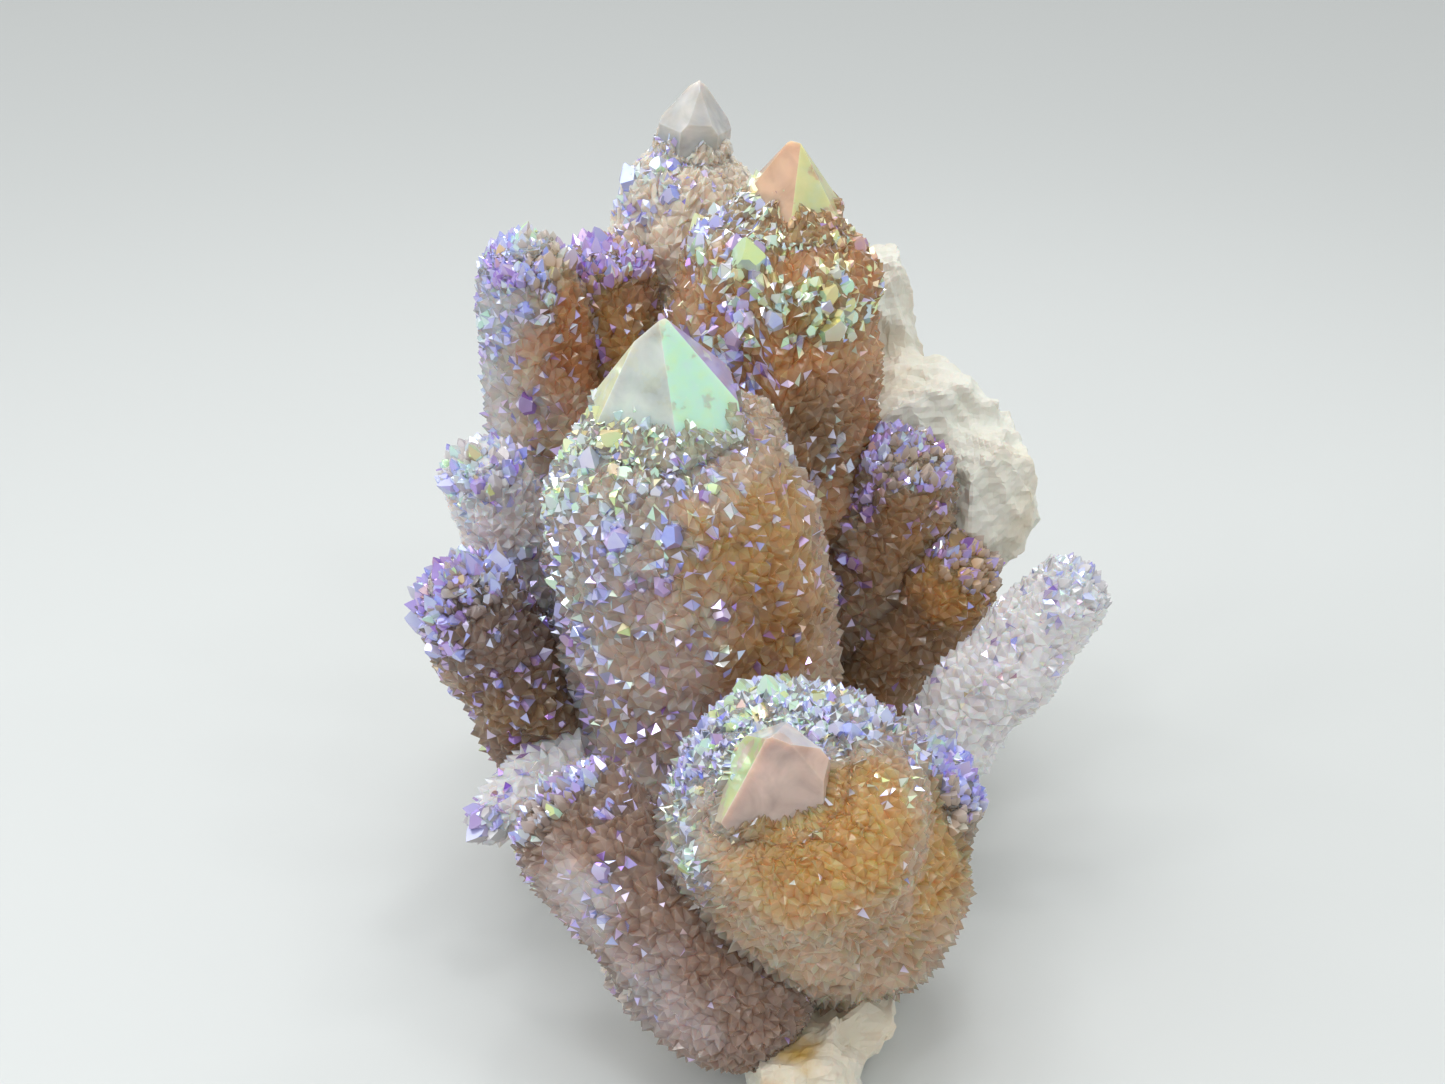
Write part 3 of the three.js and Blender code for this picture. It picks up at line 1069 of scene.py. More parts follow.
    def _heart(self) -> Facets:
        """Massive quartz under the crust: a smooth grid of heights and angles, closed at both ends.

        Returns:
            The faces, all of one grain.
        """
        rows, columns = GROWTH.heart_grid
        spindle = self.spindle
        foot, top = GROWTH.heart_foot * spindle.length, self.covered - GROWTH.heart_room
        heights = np.linspace(foot, top, rows)
        along, around = np.meshgrid(heights, np.arange(columns) * 2 * math.pi / columns, indexing="ij")
        places = self._surface(along, around, -self.point.clear_depth)
        swell, pitch = GROWTH.heart_swell
        swelling = swell * soft_noise(places.reshape(-1, 3), pitch, self.point.seed).reshape(rows, columns, 1)
        places = (places + swelling * spindle.ring(around)).reshape(-1, 3)
        places[:, 2] = np.maximum(places[:, 2], GROWTH.heart_floor)
        row, column = np.meshgrid(np.arange(rows - 1), np.arange(columns), indexing="ij")
        here, beside = row * columns + column, row * columns + (column + 1) % columns
        quads = np.stack([here, here + columns, beside + columns, beside], axis=-1).reshape(-1, 4)
        heart = closed_tube(places, quads, rows, columns)
        heart.point_values["rise"] = np.zeros(len(places))
        heart.face_values["grain"] = np.zeros(len(heart.sizes))
        return heart

    def _coats_and_painted_glints(self, crust: Facets) -> Facets:
        """Film on the crust, partly the coating's own colour and partly painted glint: a thin closed plate
        over each open facet that carries enough.

        Args:
            crust: coloured crust, whose triangles come before its two end faces.

        Returns:
            The plates, with the values of the facets that they cover.
        """
        triangles = crust.corners[: 3 * (len(crust.sizes) - 2)].reshape(-1, 3)
        middles, normals = crust.middles()[: len(triangles)], crust.normals()[: len(triangles)]
        film = crust.face_values["film"][: len(triangles)]
        chosen = np.flatnonzero((film > GROWTH.plate_film) & self._is_open(middles, GROWTH.plate_depth))
        flat = crust.vertices[triangles[chosen]]
        flat = middles[chosen, None] + GROWTH.plate_width * (flat - middles[chosen, None])
        lift = GROWTH.plate_thickness / 2 * normals[chosen, None]
        plates = np.concatenate([flat + lift, flat - lift], axis=1)
        sides = len(PLATE_SIZES)
        return Facets(
            plates.reshape(-1, 3),
            (PLATE_CORNERS + 6 * np.arange(len(chosen))[:, None]).ravel(),
            np.tile(PLATE_SIZES, len(chosen)),
            {key: np.repeat(values[chosen], sides, axis=0) for key, values in crust.face_values.items()},
            {"rise": np.ones(6 * len(chosen))},
        )

    def _is_open(self, places: Array, slack: float) -> Array:
        """Which places are above the table and not inside a neighbour or the stone.

        Args:
            places: places to test.
            slack: how deep a place may lie inside a neighbour.

        Returns:
            True for each place that is open.
        """
        free = places[:, 2] > GROWTH.open_height
        for other in self.neighbours:
            free &= other.depth_of(places) < slack
        return free & ~self.stone.holds(places)

    def _standing(self, sort: "Sort") -> Druse:
        """Crystals of one sort that stand out of the crust on its open part.

        They are spread at a golden angle from one to the next, in equal shares of the area between two
        heights. They point outwards near the foot and lean more and more towards the tip further up.

        Args:
            sort: where the crystals grow, and how dense, plump and tall they are.

        Returns:
            Places, axes, radii and stretches of the crystals.
        """
        spindle, point, rng = self.spindle, self.point, self.rng
        low, high = sort.low * spindle.shoulder, min(sort.high * spindle.shoulder, self.covered)
        heights = np.linspace(low, high, GROWTH.rough_measures)
        radii = spindle.radius(heights, self.covered)
        slant = np.hypot(np.gradient(radii), np.gradient(heights))
        share = np.cumsum(2 * math.pi * radii * slant / (sort.spacing * point.pitch) ** 2)
        order = np.arange(int(share[-1])) + 0.5
        along = np.interp(order, share, heights) + rng.normal(0, GROWTH.height_stray, len(order))
        along = np.clip(along, low, high)
        around = order * GOLDEN_ANGLE + rng.normal(0, GROWTH.angle_stray, len(order))
        places = self._surface(along, around, -sort.sunk)
        outward = self._outward(along, around)
        coverage = self._coverage(places, spindle.ring(around), along)
        odds = np.maximum(sort.share * smooth_step(*GROWTH.film_odds, coverage), sort.share == 1.0)
        keep = self._is_open(places, GROWTH.single_depth) & (rng.uniform(0, 1, len(places)) < odds)
        places, outward, along = places[keep], outward[keep], along[keep]
        lean = self._lean(along, *GROWTH.single_lean)
        axes = unit(outward + lean * spindle.axis + rng.normal(0, sort.stray, places.shape))
        radii = point.pitch * sort.plump * np.exp(rng.normal(0, sort.spread, len(places)))
        stretches = sort.tall * rng.uniform(*GROWTH.stretch, len(places))
        tops = places[:, 2] + radii * stretches * axes[:, 2] * GROWTH.length
        top_room, foot_room = GROWTH.clearance
        keep = (tops > top_room) & (places[:, 2] - radii > foot_room)
        return Druse(places[keep], axes[keep], radii[keep], stretches[keep])

    # -- colours

    def _coverage(self, places: Array, outward: Array, along: Array) -> Array:
        """Share of facets that carry film: more on the rim side and towards the shoulder, broken by noise.

        Args:
            places: places on the crust.
            outward: directions square to the axis at those places.
            along: their heights along the axis.

        Returns:
            One share for each place.
        """
        (low, high), (gain, level) = self.point.coverage, VARIATION.coverage_rise
        favour = outward @ self.rim + gain * (self._height(along) - level)
        favour += self._noise(places, *VARIATION.coverage_noise, 5)
        return low + (high - low) * smooth_step(*VARIATION.coverage_step, favour)

    def _height(self, along: Array) -> Array:
        """Heights along the axis as parts of the shoulder's."""
        return np.clip(along / self.spindle.shoulder, 0, VARIATION.highest)

    def _noise(self, places: Array, pitch: float, strength: float, shift: int = 0) -> Array:
        """Smooth noise of the point's own; each shift gives another one."""
        return strength * soft_noise(places, pitch, self.point.seed + shift)

    def _body_colours(self, places: Array, outward: Array) -> Array:
        """Colour of the massive quartz: heart to skin across the point, broken by noise, then the glows.

        Args:
            places: places on the crust or the heart.
            outward: directions square to the axis at those places.

        Returns:
            One colour for each place.
        """
        favour = outward @ self.rim + self._noise(places, *VARIATION.skin_noise)
        mix = smooth_step(*VARIATION.skin_step, favour)[:, None]
        colour = np.array(self.point.heart.value) * (1 - mix) + np.array(self.point.skin.value) * mix
        pitch, strength = VARIATION.glow_noise
        for glow in self.point.glows:
            away = np.linalg.norm(places - np.array(glow.middle), axis=1) / glow.reach
            fading = smooth_step(*VARIATION.glow_step, away + strength * soft_noise(places, pitch, 7))
            colour += (np.array(glow.colour.value) - colour) * (1 - fading)[:, None]
        return colour

    def _colour(self, facets: Facets, gain: float) -> None:
        """Gives faces their body colour, film strength and film phase.

        A face carries film with a chance that rises towards the rim side and the shoulder, and more often
        where it looks up and to the front, towards the lamps and the camera: strong film there is painted
        glint.
        Faces of one crystal are alike in luck, phase and shade.

        Args:
            facets: faces with the value grain.
            gain: how many times more often a face carries a film than on the point's crust.
        """
        spindle, vary = self.spindle, VARIATION
        grain = facets.face_values["grain"].astype(int)
        crystals, faces = grain.max() + 1, len(grain)
        middles, normals = facets.middles(), facets.normals()
        offset = middles - spindle.foot
        along = offset @ spindle.axis
        outward = unit(offset - along[:, None] * spindle.axis)
        shared = self.rng.uniform(0, 1, crystals)[grain]
        luck = vary.shared_luck * shared + (1 - vary.shared_luck) * self.rng.uniform(0, 1, faces)
        # Painted glints: film is likelier on faces that look up and to the front, where the lamps would
        # glint.
        (least, gained), (side, weight) = vary.facing_gain, vary.painted_glint_facing
        painted_glint_facing = smooth_step(*vary.facing_step, normals @ unit(weight * self.rim + np.array(side)))
        chance = gain * self._coverage(middles, outward, along) * (least + gained * painted_glint_facing)
        film = smooth_step(*vary.film_step, chance - luck)
        (start, drift), swing = self.point.film, self.point.swing
        phase = start + drift * self._height(along) ** 2 + swing * outward[:, 0]
        phase += self._noise(middles, *vary.phase_noise, 9) + self._by_grain(vary.phase, grain)
        shade = np.exp(self._by_grain(vary.shade, grain))[:, None]
        faintest, thinnest = vary.film_limits
        film *= self.rng.uniform(thinnest, 1, faces)
        facets.face_values["film"] = np.clip(film, faintest, 1)
        facets.face_values["phase"] = phase % 1.0
        facets.face_values["body"] = np.clip(self._body_colours(middles, outward) * shade, *vary.body_limits)

    def _by_grain(self, spreads: Pair, grain: Array) -> Array:
        """Random numbers around zero, of which the faces of one crystal share a part.

        Args:
            spreads: standard deviations from crystal to crystal and from face to face.
            grain: number of each face's crystal.

        Returns:
            One number for each face.
        """
        shared = self.rng.normal(0, spreads[0], grain.max() + 1)[grain]
        return shared + self.rng.normal(0, spreads[1], len(grain))

    # -- pieces

    def build_heart(self, material: Material) -> Piece:
        """Massive, coloured quartz that shows through the clear crust.

        Args:
            material: its finish.

        Returns:
            The heart.
        """
        heart = self._heart()
        self._colour(heart, 0.0)
        piece = heart.to_object(f"{self.point.name}_heart", material)
        piece.data.shade_smooth()
        return piece

    def build_crust(self, clear: Material, coated: Material) -> list[Piece]:
        """Clear, connected crust round the point, and one piece of all that carries film.

        Args:
            clear: finish of the crust.
            coated: finish of the film on its facets and of the crystals that stand out of it.

        Returns:
            The crust and the coated piece.
        """
        crust = self._crust()
        self._colour(crust, 1.0)
        parts = [self._coats_and_painted_glints(crust)] + [grown for sort in SORTS if (grown := self._grown(sort))]
        return [
            crust.to_object(f"{self.point.name}_crust", clear),
            Facets.joined(parts).to_object(f"{self.point.name}_coated", coated),
        ]

    def _grown(self, sort: "Sort") -> Facets | None:
        """Grows and colours the crystals of one sort.

        Args:
            sort: where the crystals grow, and how they look.

        Returns:
            Their faces, or None where none grow.
        """
        druse = self._standing(sort)
        if not len(druse.places):
            return None
        crystals = druse.facets(self.rng)
        self._colour(crystals, sort.gain)
        return crystals

    def build_rim(self, material: Material) -> list[Piece]:
        """Larger crystals that close the top of a blunt point, or stand round a termination.

        Args:
            material: their finish.

        Returns:
            One piece, or none where none grow.
        """
        rim = self._grown(RIM_SORT if self.point.crown else TIP_SORT)
        if not rim:
            return []
        # Painted shade: the opaque rim crystals get a darker body colour, as dark as the clear crust looks.
        rim.face_values["body"] *= GROWTH.rim_painted_shade
        return [rim.to_object(f"{self.point.name}_rim", material)]

    def build_termination(self, material: Material) -> Piece:
        """Smooth end of the point, with slightly worn edges.

        Args:
            material: its finish.

        Returns:
            The termination.
        """
        piece = self.termination.facets().to_object(f"{self.point.name}_termination", material)
        bevel = piece.modifiers.new("worn_edges", "BEVEL")
        bevel.width = Termination.WORN_WIDTH * MM
        bevel.segments = 2
        return piece


@dataclass(frozen=True)
class Sort:
    """Sort of crystals that stand out of a crust.

    Attributes:
        low: height where the sort begins, as a part of the shoulder's height.
        high: height where it ends.
        share: share of the crystals that grow where the film is strong; at 1 they grow everywhere.
        spacing: distance between neighbours, as a part of the point's pitch.
        sunk: how far the crystals' middles lie below the surface, in millimetres.
        plump: crystal radius as a part of the point's pitch.
        spread: how much the radii vary, as a power of e.
        tall: stretch of a crystal along its axis.
        stray: how much the axes vary.
        gain: how many times more often a face carries a film than on the point's crust.
    """

    low: float
    high: float
    share: float
    spacing: float
    sunk: float
    plump: float
    spread: float
    tall: float
    stray: float
    gain: float


SORTS = (
    Sort(0.12, 0.92, 0.2, 1.5, 0.3, 0.48, 0.3, 0.9, 0.35, 30.0),
    Sort(0.7, 1.1, 0.25, 1.0, 0.35, 0.4, 0.3, 1.0, 0.3, 30.0),
    Sort(0.88, 1.15, 0.55, 1.2, 0.5, 0.55, 0.3, 1.0, 0.2, 30.0),
)
TIP_SORT = Sort(0.98, 1.3, 1.0, 0.52, 0.3, 0.4, 0.25, 1.4, 0.3, 3.0)
RIM_SORT = Sort(0.9, 1.05, 0.45, 1.6, 0.4, 0.6, 0.3, 1.1, 0.2, 30.0)


# -------- stone


@dataclass(frozen=True)
class Block:
    """Boxy egg of stone: its middle and half sizes in millimetres."""

    middle: Triple
    half: Triple


@dataclass(frozen=True)
class Stone:
    """White milky quartz that the points grew on.

    Attributes:
        blocks: the boxy eggs that it is made of.
        squareness: how boxy they are, from 1 for an egg to 0 for a box.
        kept_free: part of a block in which no crystal grows.
        voxel: size of the finer mesh's cells, in millimetres.
        layers: distance between crests and seed of the broad, the middle and the fine roughness.
        depths: depth of the broad roughness, of the middle beside the broad, and of the fine, in millimetres.
        smooth_foot: heights between which the roughness starts, above the flat underside.
    """

    blocks: tuple[Block, ...]
    squareness: float = 0.7
    kept_free: float = 0.75
    voxel: float = 0.42
    layers: tuple[tuple[float, int], ...] = ((5.0, 61), (2.4, 62), (1.1, 63))
    depths: Triple = (0.45, 0.5, 0.0875)
    smooth_foot: Pair = (0.1, 1.2)

    def holds(self, places: Array) -> Array:
        """Which places lie inside a block: the sum of |offset / half|^(2 / squareness) is under kept_free.

        Args:
            places: places to test.

        Returns:
            True for each place inside.
        """
        inside = np.zeros(len(places), bool)
        for block in self.blocks:
            part = np.abs((places - np.array(block.middle)) / np.array(block.half)) ** (2 / self.squareness)
            inside |= part.sum(axis=1) < self.kept_free
        return inside

    def build(self, material: Material) -> Piece:
        """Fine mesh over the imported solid, roughened like broken stone.

        Args:
            material: its finish.

        Returns:
            The stone.
        """
        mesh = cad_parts["matrix"].data.copy()
        mesh.name = "milky_stone"
        mesh.materials.clear()
        mesh.materials.append(material)
        piece = add_object("milky_stone", mesh)
        weld = piece.modifiers.new("weld", "WELD")
        weld.merge_threshold = 1e-6
        remesh = piece.modifiers.new("fine", "REMESH")
        remesh.mode = "VOXEL"
        remesh.voxel_size = self.voxel * MM
        apply_modifiers(piece)
        self._roughen(piece.data)
        return piece

    def _roughen(self, mesh: bpy.types.Mesh) -> None:
        """Moves each vertex inward by layered noise, less near the flat underside.

        Args:
            mesh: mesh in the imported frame.
        """
        count = len(mesh.vertices)
        places, normals = np.empty(count * 3, np.float32), np.empty(count * 3, np.float32)
        mesh.vertices.foreach_get("co", places)
        mesh.vertices.foreach_get("normal", normals)
        places, normals = places.reshape(-1, 3), normals.reshape(-1, 3)
        spots = places / MM
        broad, middle, fine = (soft_noise(spots, *layer) for layer in self.layers)
        depth, share, fine_depth = self.depths
        inward = depth * (np.abs(broad) + share * np.abs(middle)) + fine_depth * fine
        free = smooth_step(*self.smooth_foot, spots[:, 2])
        places -= normals * (inward * free * MM)[:, None].astype(np.float32)
        mesh.vertices.foreach_set("co", places.ravel())
        mesh.update()


def apply_modifiers(piece: Piece) -> None:
    """Bakes a piece's modifiers into its mesh.

    Args:
        piece: the piece.
    """
    graph = bpy.context.evaluated_depsgraph_get()
    mesh = bpy.data.meshes.new_from_object(piece.evaluated_get(graph))
    piece.modifiers.clear()
    piece.data = mesh


# -------- finishes


class Nodes:
    """Shader nodes written as nested calls: each call adds a node and returns the output that it makes."""

    def __init__(self, tree: bpy.types.NodeTree) -> None:
        """Adds nodes to a tree."""
        self.tree = tree

    def feed(self, socket: bpy.types.NodeSocket, value: Value) -> None:
        """Links an output to a socket, or sets the socket to a number, a vector or a colour.

        Args:
            socket: input to feed.
            value: another node's output, or a constant.
        """
        if isinstance(value, bpy.types.NodeSocket):
            self.tree.links.new(value, socket)
        elif socket.type == "RGBA":
            socket.default_value = (*value, 1.0)
        else:
            socket.default_value = value

    def add(self, kind: str, output: str | int, inputs: dict[str | int, Value], **choices: object) -> Output:
        """Adds any node.

        Args:
            kind: type of the node, without ShaderNode before it.
            output: name or number of the output to return.
            inputs: values by the name or number of the input.
            choices: the node's own settings.

        Returns:
            The chosen output.
        """
        node = self.tree.nodes.new(f"ShaderNode{kind}")
        for name, choice in choices.items():
            setattr(node, name, choice)
        for name, value in inputs.items():
            self.feed(node.inputs[name], value)
        return node.outputs[output]

    def noise(self, place: Output, scale: Value, detail: Value, **inputs: Value) -> Output:
        """Value of noise at a place."""
        return self.add("TexNoise", "Fac", {"Vector": place, "Scale": scale, "Detail": detail, **inputs})

    def math(self, operation: str, first: Value, second: Value = 0.0) -> Output:
        """Number worked out from one or two others."""
        return self.add("Math", 0, {0: first, 1: second}, operation=operation)

    def ramp(
        self,
        value: Output,
        low: float,
        high: float,
        start: Value = 0.0,
        end: Value = 1.0,
        curve: str = "LINEAR",
    ) -> Output:
        """Number that runs from start to end while another runs from low to high.

        Args:
            value: the number that leads.
            low: where it begins to count.
            high: where it stops counting.
            start: result at low.
            end: result at high.
            curve: LINEAR, or SMOOTHSTEP for a soft start and end.

        Returns:
            The new number.
        """
        inputs = {"Value": value, "From Min": low, "From Max": high, "To Min": start, "To Max": end}
        return self.add("MapRange", "Result", inputs, interpolation_type=curve)

    def mix(self, factor: Value, under: Value, over: Value, blend: str = "MIX") -> Output:
        """Colour between two, or the two multiplied."""
        inputs = {"Factor": factor, "A": under, "B": over}
        return self.add("Mix", "Result", inputs, data_type="RGBA", blend_type=blend)

    def bump(self, height: Output, strength: float, depth: float) -> Output:
        """Normal bent by a height, whose full depth is in millimetres."""
        return self.add("Bump", "Normal", {"Height": height, "Strength": strength, "Distance": depth * MM})


class Finish(Nodes):
    """Nodes of one new material, round its Principled shader."""

    def __init__(self, name: str) -> None:
        """Starts the material, and makes the object's own coordinates its place.

        Args:
            name: name of the material.
        """
        self.material = bpy.data.materials.new(name)
        self.material.use_nodes = True
        super().__init__(self.material.node_tree)
        self.place = self.add("TexCoord", "Object", {})

    def value(self, name: str, output: str = "Fac") -> Output:
        """Named value of the piece's mesh."""
        return self.add("Attribute", output, {}, attribute_name=name)

    def made(self, sockets: dict[str, Value], end: str = "Principled BSDF") -> Material:
        """The material, with sockets of its shader or of another end node fed by name."""
        for name, value in sockets.items():
            self.feed(self.tree.nodes[end].inputs[name], value)
        return self.material


class Effect(Nodes):
    """Node group for an effect that several materials share."""

    def __init__(self, name: str, inputs: dict[str, str], outputs: dict[str, str]) -> None:
        """Starts the group.

        Args:
            name: name of the group.
            inputs: kind of each input by name, such as Float or Color.
            outputs: kind of each output by name.
        """
        super().__init__(bpy.data.node_groups.new(name, "ShaderNodeTree"))
        for direction, sockets in (("INPUT", inputs), ("OUTPUT", outputs)):
            for socket, kind in sockets.items():
                self.tree.interface.new_socket(socket, in_out=direction, socket_type=f"NodeSocket{kind}")
        self.inputs = self.tree.nodes.new("NodeGroupInput").outputs
        self.outputs = self.tree.nodes.new("NodeGroupOutput").inputs


class SharedEffects:
    """Effects that more than one quartz finish uses."""

    def __init__(self) -> None:
        """Builds every group once."""
        self.veils = self._veils()
        self.film = self._film()

    def _veils(self) -> bpy.types.NodeTree:
        """Colour made darker and lighter in clouds, as milky veils inside the quartz do.

        Returns:
            The group's node tree.
        """
        numbers = ("Scale", "Detail", "Distortion", "Darkest", "Lightest")
        inputs = {"Place": "Vector", "Colour": "Color", **dict.fromkeys(numbers, "Float")}
        effect = Effect("veils", inputs, {"Colour": "Color"})
        given = effect.inputs
        clouds = effect.noise(given["Place"], given["Scale"], given["Detail"], Distortion=given["Distortion"])
        shade = effect.ramp(clouds, 0.3, 0.7, given["Darkest"], given["Lightest"])
        effect.feed(effect.outputs["Colour"], effect.mix(1.0, given["Colour"], shade, "MULTIPLY"))
        return effect.tree

    def _film(self) -> bpy.types.NodeTree:
        """Interference colour of a film, which runs round the colours of Film as its phase wanders a little.

        Returns:
            The group's node tree.
        """
        inputs = {"Place": "Vector", "Phase": "Float"}
        effect = Effect("iridescent_film", inputs, {"Colour": "Color", "Height": "Float"})
        clouds = effect.noise(effect.inputs["Place"], 900.0, 3.0)
        drift = effect.ramp(clouds, 0.0, 1.0, -FILM_DRIFT, FILM_DRIFT)
        phase = effect.math("ADD", effect.inputs["Phase"], drift)
        colour = effect.add("ValToRGB", "Color", {"Fac": effect.math("FRACT", phase)})
        stops = [(film.place, film.colour) for film in Film] + [(1.0, Film.VIOLET.colour)]
        while len(colour.node.color_ramp.elements) < len(stops):
            colour.node.color_ramp.elements.new(0.5)
        for element, (position, stop) in zip(colour.node.color_ramp.elements, stops):
            element.position = position
            element.color = (*stop, 1.0)
        effect.feed(effect.outputs["Colour"], colour)
        effect.feed(effect.outputs["Height"], clouds)
        return effect.tree


@dataclass(frozen=True)
class CoatedQuartz:
    """Translucent quartz under an iridescent film, read from the piece's body, film, phase and rise values.

    Attributes:
        name: name of the material.
        film_metal: how mirror-like a fully coated facet is.
        facet_roughness: roughness of a bare facet.
        film_roughness: roughness of a fully coated facet.
        depth: how much deeper the body colour is at the foot of a small crystal, as a power: painted crevice
            shade.
        shade: brightness of the body colour there, painted crevice shade as well.
        frost: how much of the tip colour shows at the top of a small crystal.
        tip_colour: pale colour of thin, clear quartz.
        scatter: subsurface weight.
        scatter_depth: how far light spreads under the surface, in millimetres.
        veils: how much milky veils inside lighten and darken the body colour.
        wear: part of the film that has gone where it is pitted and worn in patches.
        unevenness: strength of a facet's bumps, and their depth in millimetres.
        ior: how strongly light bends at a facet.
        polish: weight and roughness of the smooth top coat.
    """

    name: str
    film_metal: float = 0.68
    facet_roughness: float = 0.3
    film_roughness: float = 0.07
    depth: float = 1.1
    shade: float = 0.95
    frost: float = 0.25
    tip_colour: Triple = (0.88, 0.82, 0.86)
    scatter: float = 0.0
    scatter_depth: float = 1.8
    veils: float = 0.0
    wear: float = 0.0
    unevenness: Pair = (0.08, 0.05)
    ior: float = 1.55
    polish: Pair = (0.2, 0.04)

    def build(self, effects: SharedEffects) -> Material:
        """The material's nodes: quartz that pales towards the top of each small crystal, with film over it.

        Args:
            effects: groups that the quartz finishes share.

        Returns:
            The new material.
        """
        finish = Finish(self.name)
        body, film = finish.value("body", "Color"), finish.value("film")
        if self.veils:
            veils = {"Colour": body, "Scale": 420.0, "Detail": 6.0, "Distortion": 0.5}
            veils |= {"Place": finish.place, "Darkest": 1 - self.veils, "Lightest": 1 + self.veils}
            body = finish.add("Group", "Colour", veils, node_tree=effects.veils)
        if self.wear:
            patches = finish.noise(finish.place, 520.0, 8.0, Roughness=0.62)
            kept = finish.ramp(patches, *WORN_EDGE, 1 - self.wear, curve="SMOOTHSTEP")
            film = finish.math("MULTIPLY", kept, film)
        # Painted crevice shade: the body colour is deeper and darker at the foot of each small crystal, where
        # rise is low, and the heart, whose rise is zero, takes it all over.
        deep = finish.add("Gamma", "Color", {"Color": body, "Gamma": self.depth})
        foot = finish.mix(1.0, deep, (self.shade,) * 3, "MULTIPLY")
        top = finish.mix(self.frost, body, self.tip_colour)
        quartz = finish.mix(finish.ramp(finish.value("rise"), 0.3, 1.0, curve="SMOOTHSTEP"), foot, top)
        # The film value puts the coating's own colour into Base Color, Metallic and Roughness; where it was
        # raised on faces that look up and to the front, it is painted glint.
        coat = {"Place": finish.place, "Phase": finish.value("phase")}
        film_colour = finish.add("Group", "Colour", coat, node_tree=effects.film)
        return finish.made({
            "Base Color": finish.mix(film, quartz, film_colour),
            "Metallic": finish.math("MULTIPLY", film, self.film_metal),
            "Roughness": finish.ramp(film, 0.0, 1.0, self.facet_roughness, self.film_roughness),
            "Normal": finish.bump(film_colour.node.outputs["Height"], *self.unevenness),
            "IOR": self.ior,
            "Subsurface Weight": self.scatter,
            "Subsurface Radius": (1.0, 0.6, 0.4),
            "Subsurface Scale": self.scatter_depth * MM,
            "Coat Weight": self.polish[0],
            "Coat Roughness": self.polish[1],
        })


@dataclass(frozen=True)
class ClearQuartz:
    """Clear quartz with a faint milky haze, tinted a little like the body behind it.

    Attributes:
        name: name of the material.
        pallor: power that lightens the body colour for the haze.
        clearness: share of the light that passes on to what lies behind.
        scatter: subsurface weight of the haze.
        scatter_depth: how far light spreads under the surface, in millimetres.
        roughness: roughness of the facets.
        unevenness: strength of a facet's bumps, and their depth in millimetres.
        ior: how strongly light bends at a facet.
        mottling: how much darker the haze is in its darkest spots.
        absorption: colour that light keeps as it passes through the quartz.
        density: how strongly the other colours are absorbed, in parts per metre.
    """

    name: str = "clear_quartz"
    pallor: float = 0.85
    clearness: float = 0.7
    scatter: float = 1.0
    scatter_depth: float = 1.2
    roughness: float = 0.12
    unevenness: Pair = (0.25, 0.1)
    ior: float = 1.45
    mottling: float = 0.12
    absorption: Triple = (0.90, 0.80, 0.74)
    density: float = 150.0

    def build(self, effects: SharedEffects) -> Material:
        """The material's nodes: plain glass that absorbs a little, over a pale haze.

        Args:
            effects: groups that the quartz finishes share.

        Returns:
            The new material.
        """
        finish = Finish(self.name)
        haze = finish.add("Gamma", "Color", {"Color": finish.value("body", "Color"), "Gamma": self.pallor})
        veils = {"Colour": haze, "Scale": 700.0, "Detail": 4.0, "Distortion": 0.0}
        veils |= {"Place": finish.place, "Darkest": 1 - self.mottling, "Lightest": 1.0}
        absorb = finish.add("VolumeAbsorption", "Volume", {"Color": self.absorption, "Density": self.density})
        finish.made({"Volume": absorb}, end="Material Output")
        return finish.made({
            "Base Color": finish.add("Group", "Colour", veils, node_tree=effects.veils),
            "Normal": finish.bump(finish.noise(finish.place, 2400.0, 3.0), *self.unevenness),
            "Roughness": self.roughness,
            "IOR": self.ior,
            "Transmission Weight": self.clearness,
            "Subsurface Weight": self.scatter,
            "Subsurface Radius": (1.0, 0.7, 0.5),
            "Subsurface Scale": self.scatter_depth * MM,
        })


@dataclass(frozen=True)
class Stain:
    """Round stain on the stone: its middle and reach in millimetres in the growing frame, and its colour."""

    middle: Triple
    reach: float
    colour: Triple


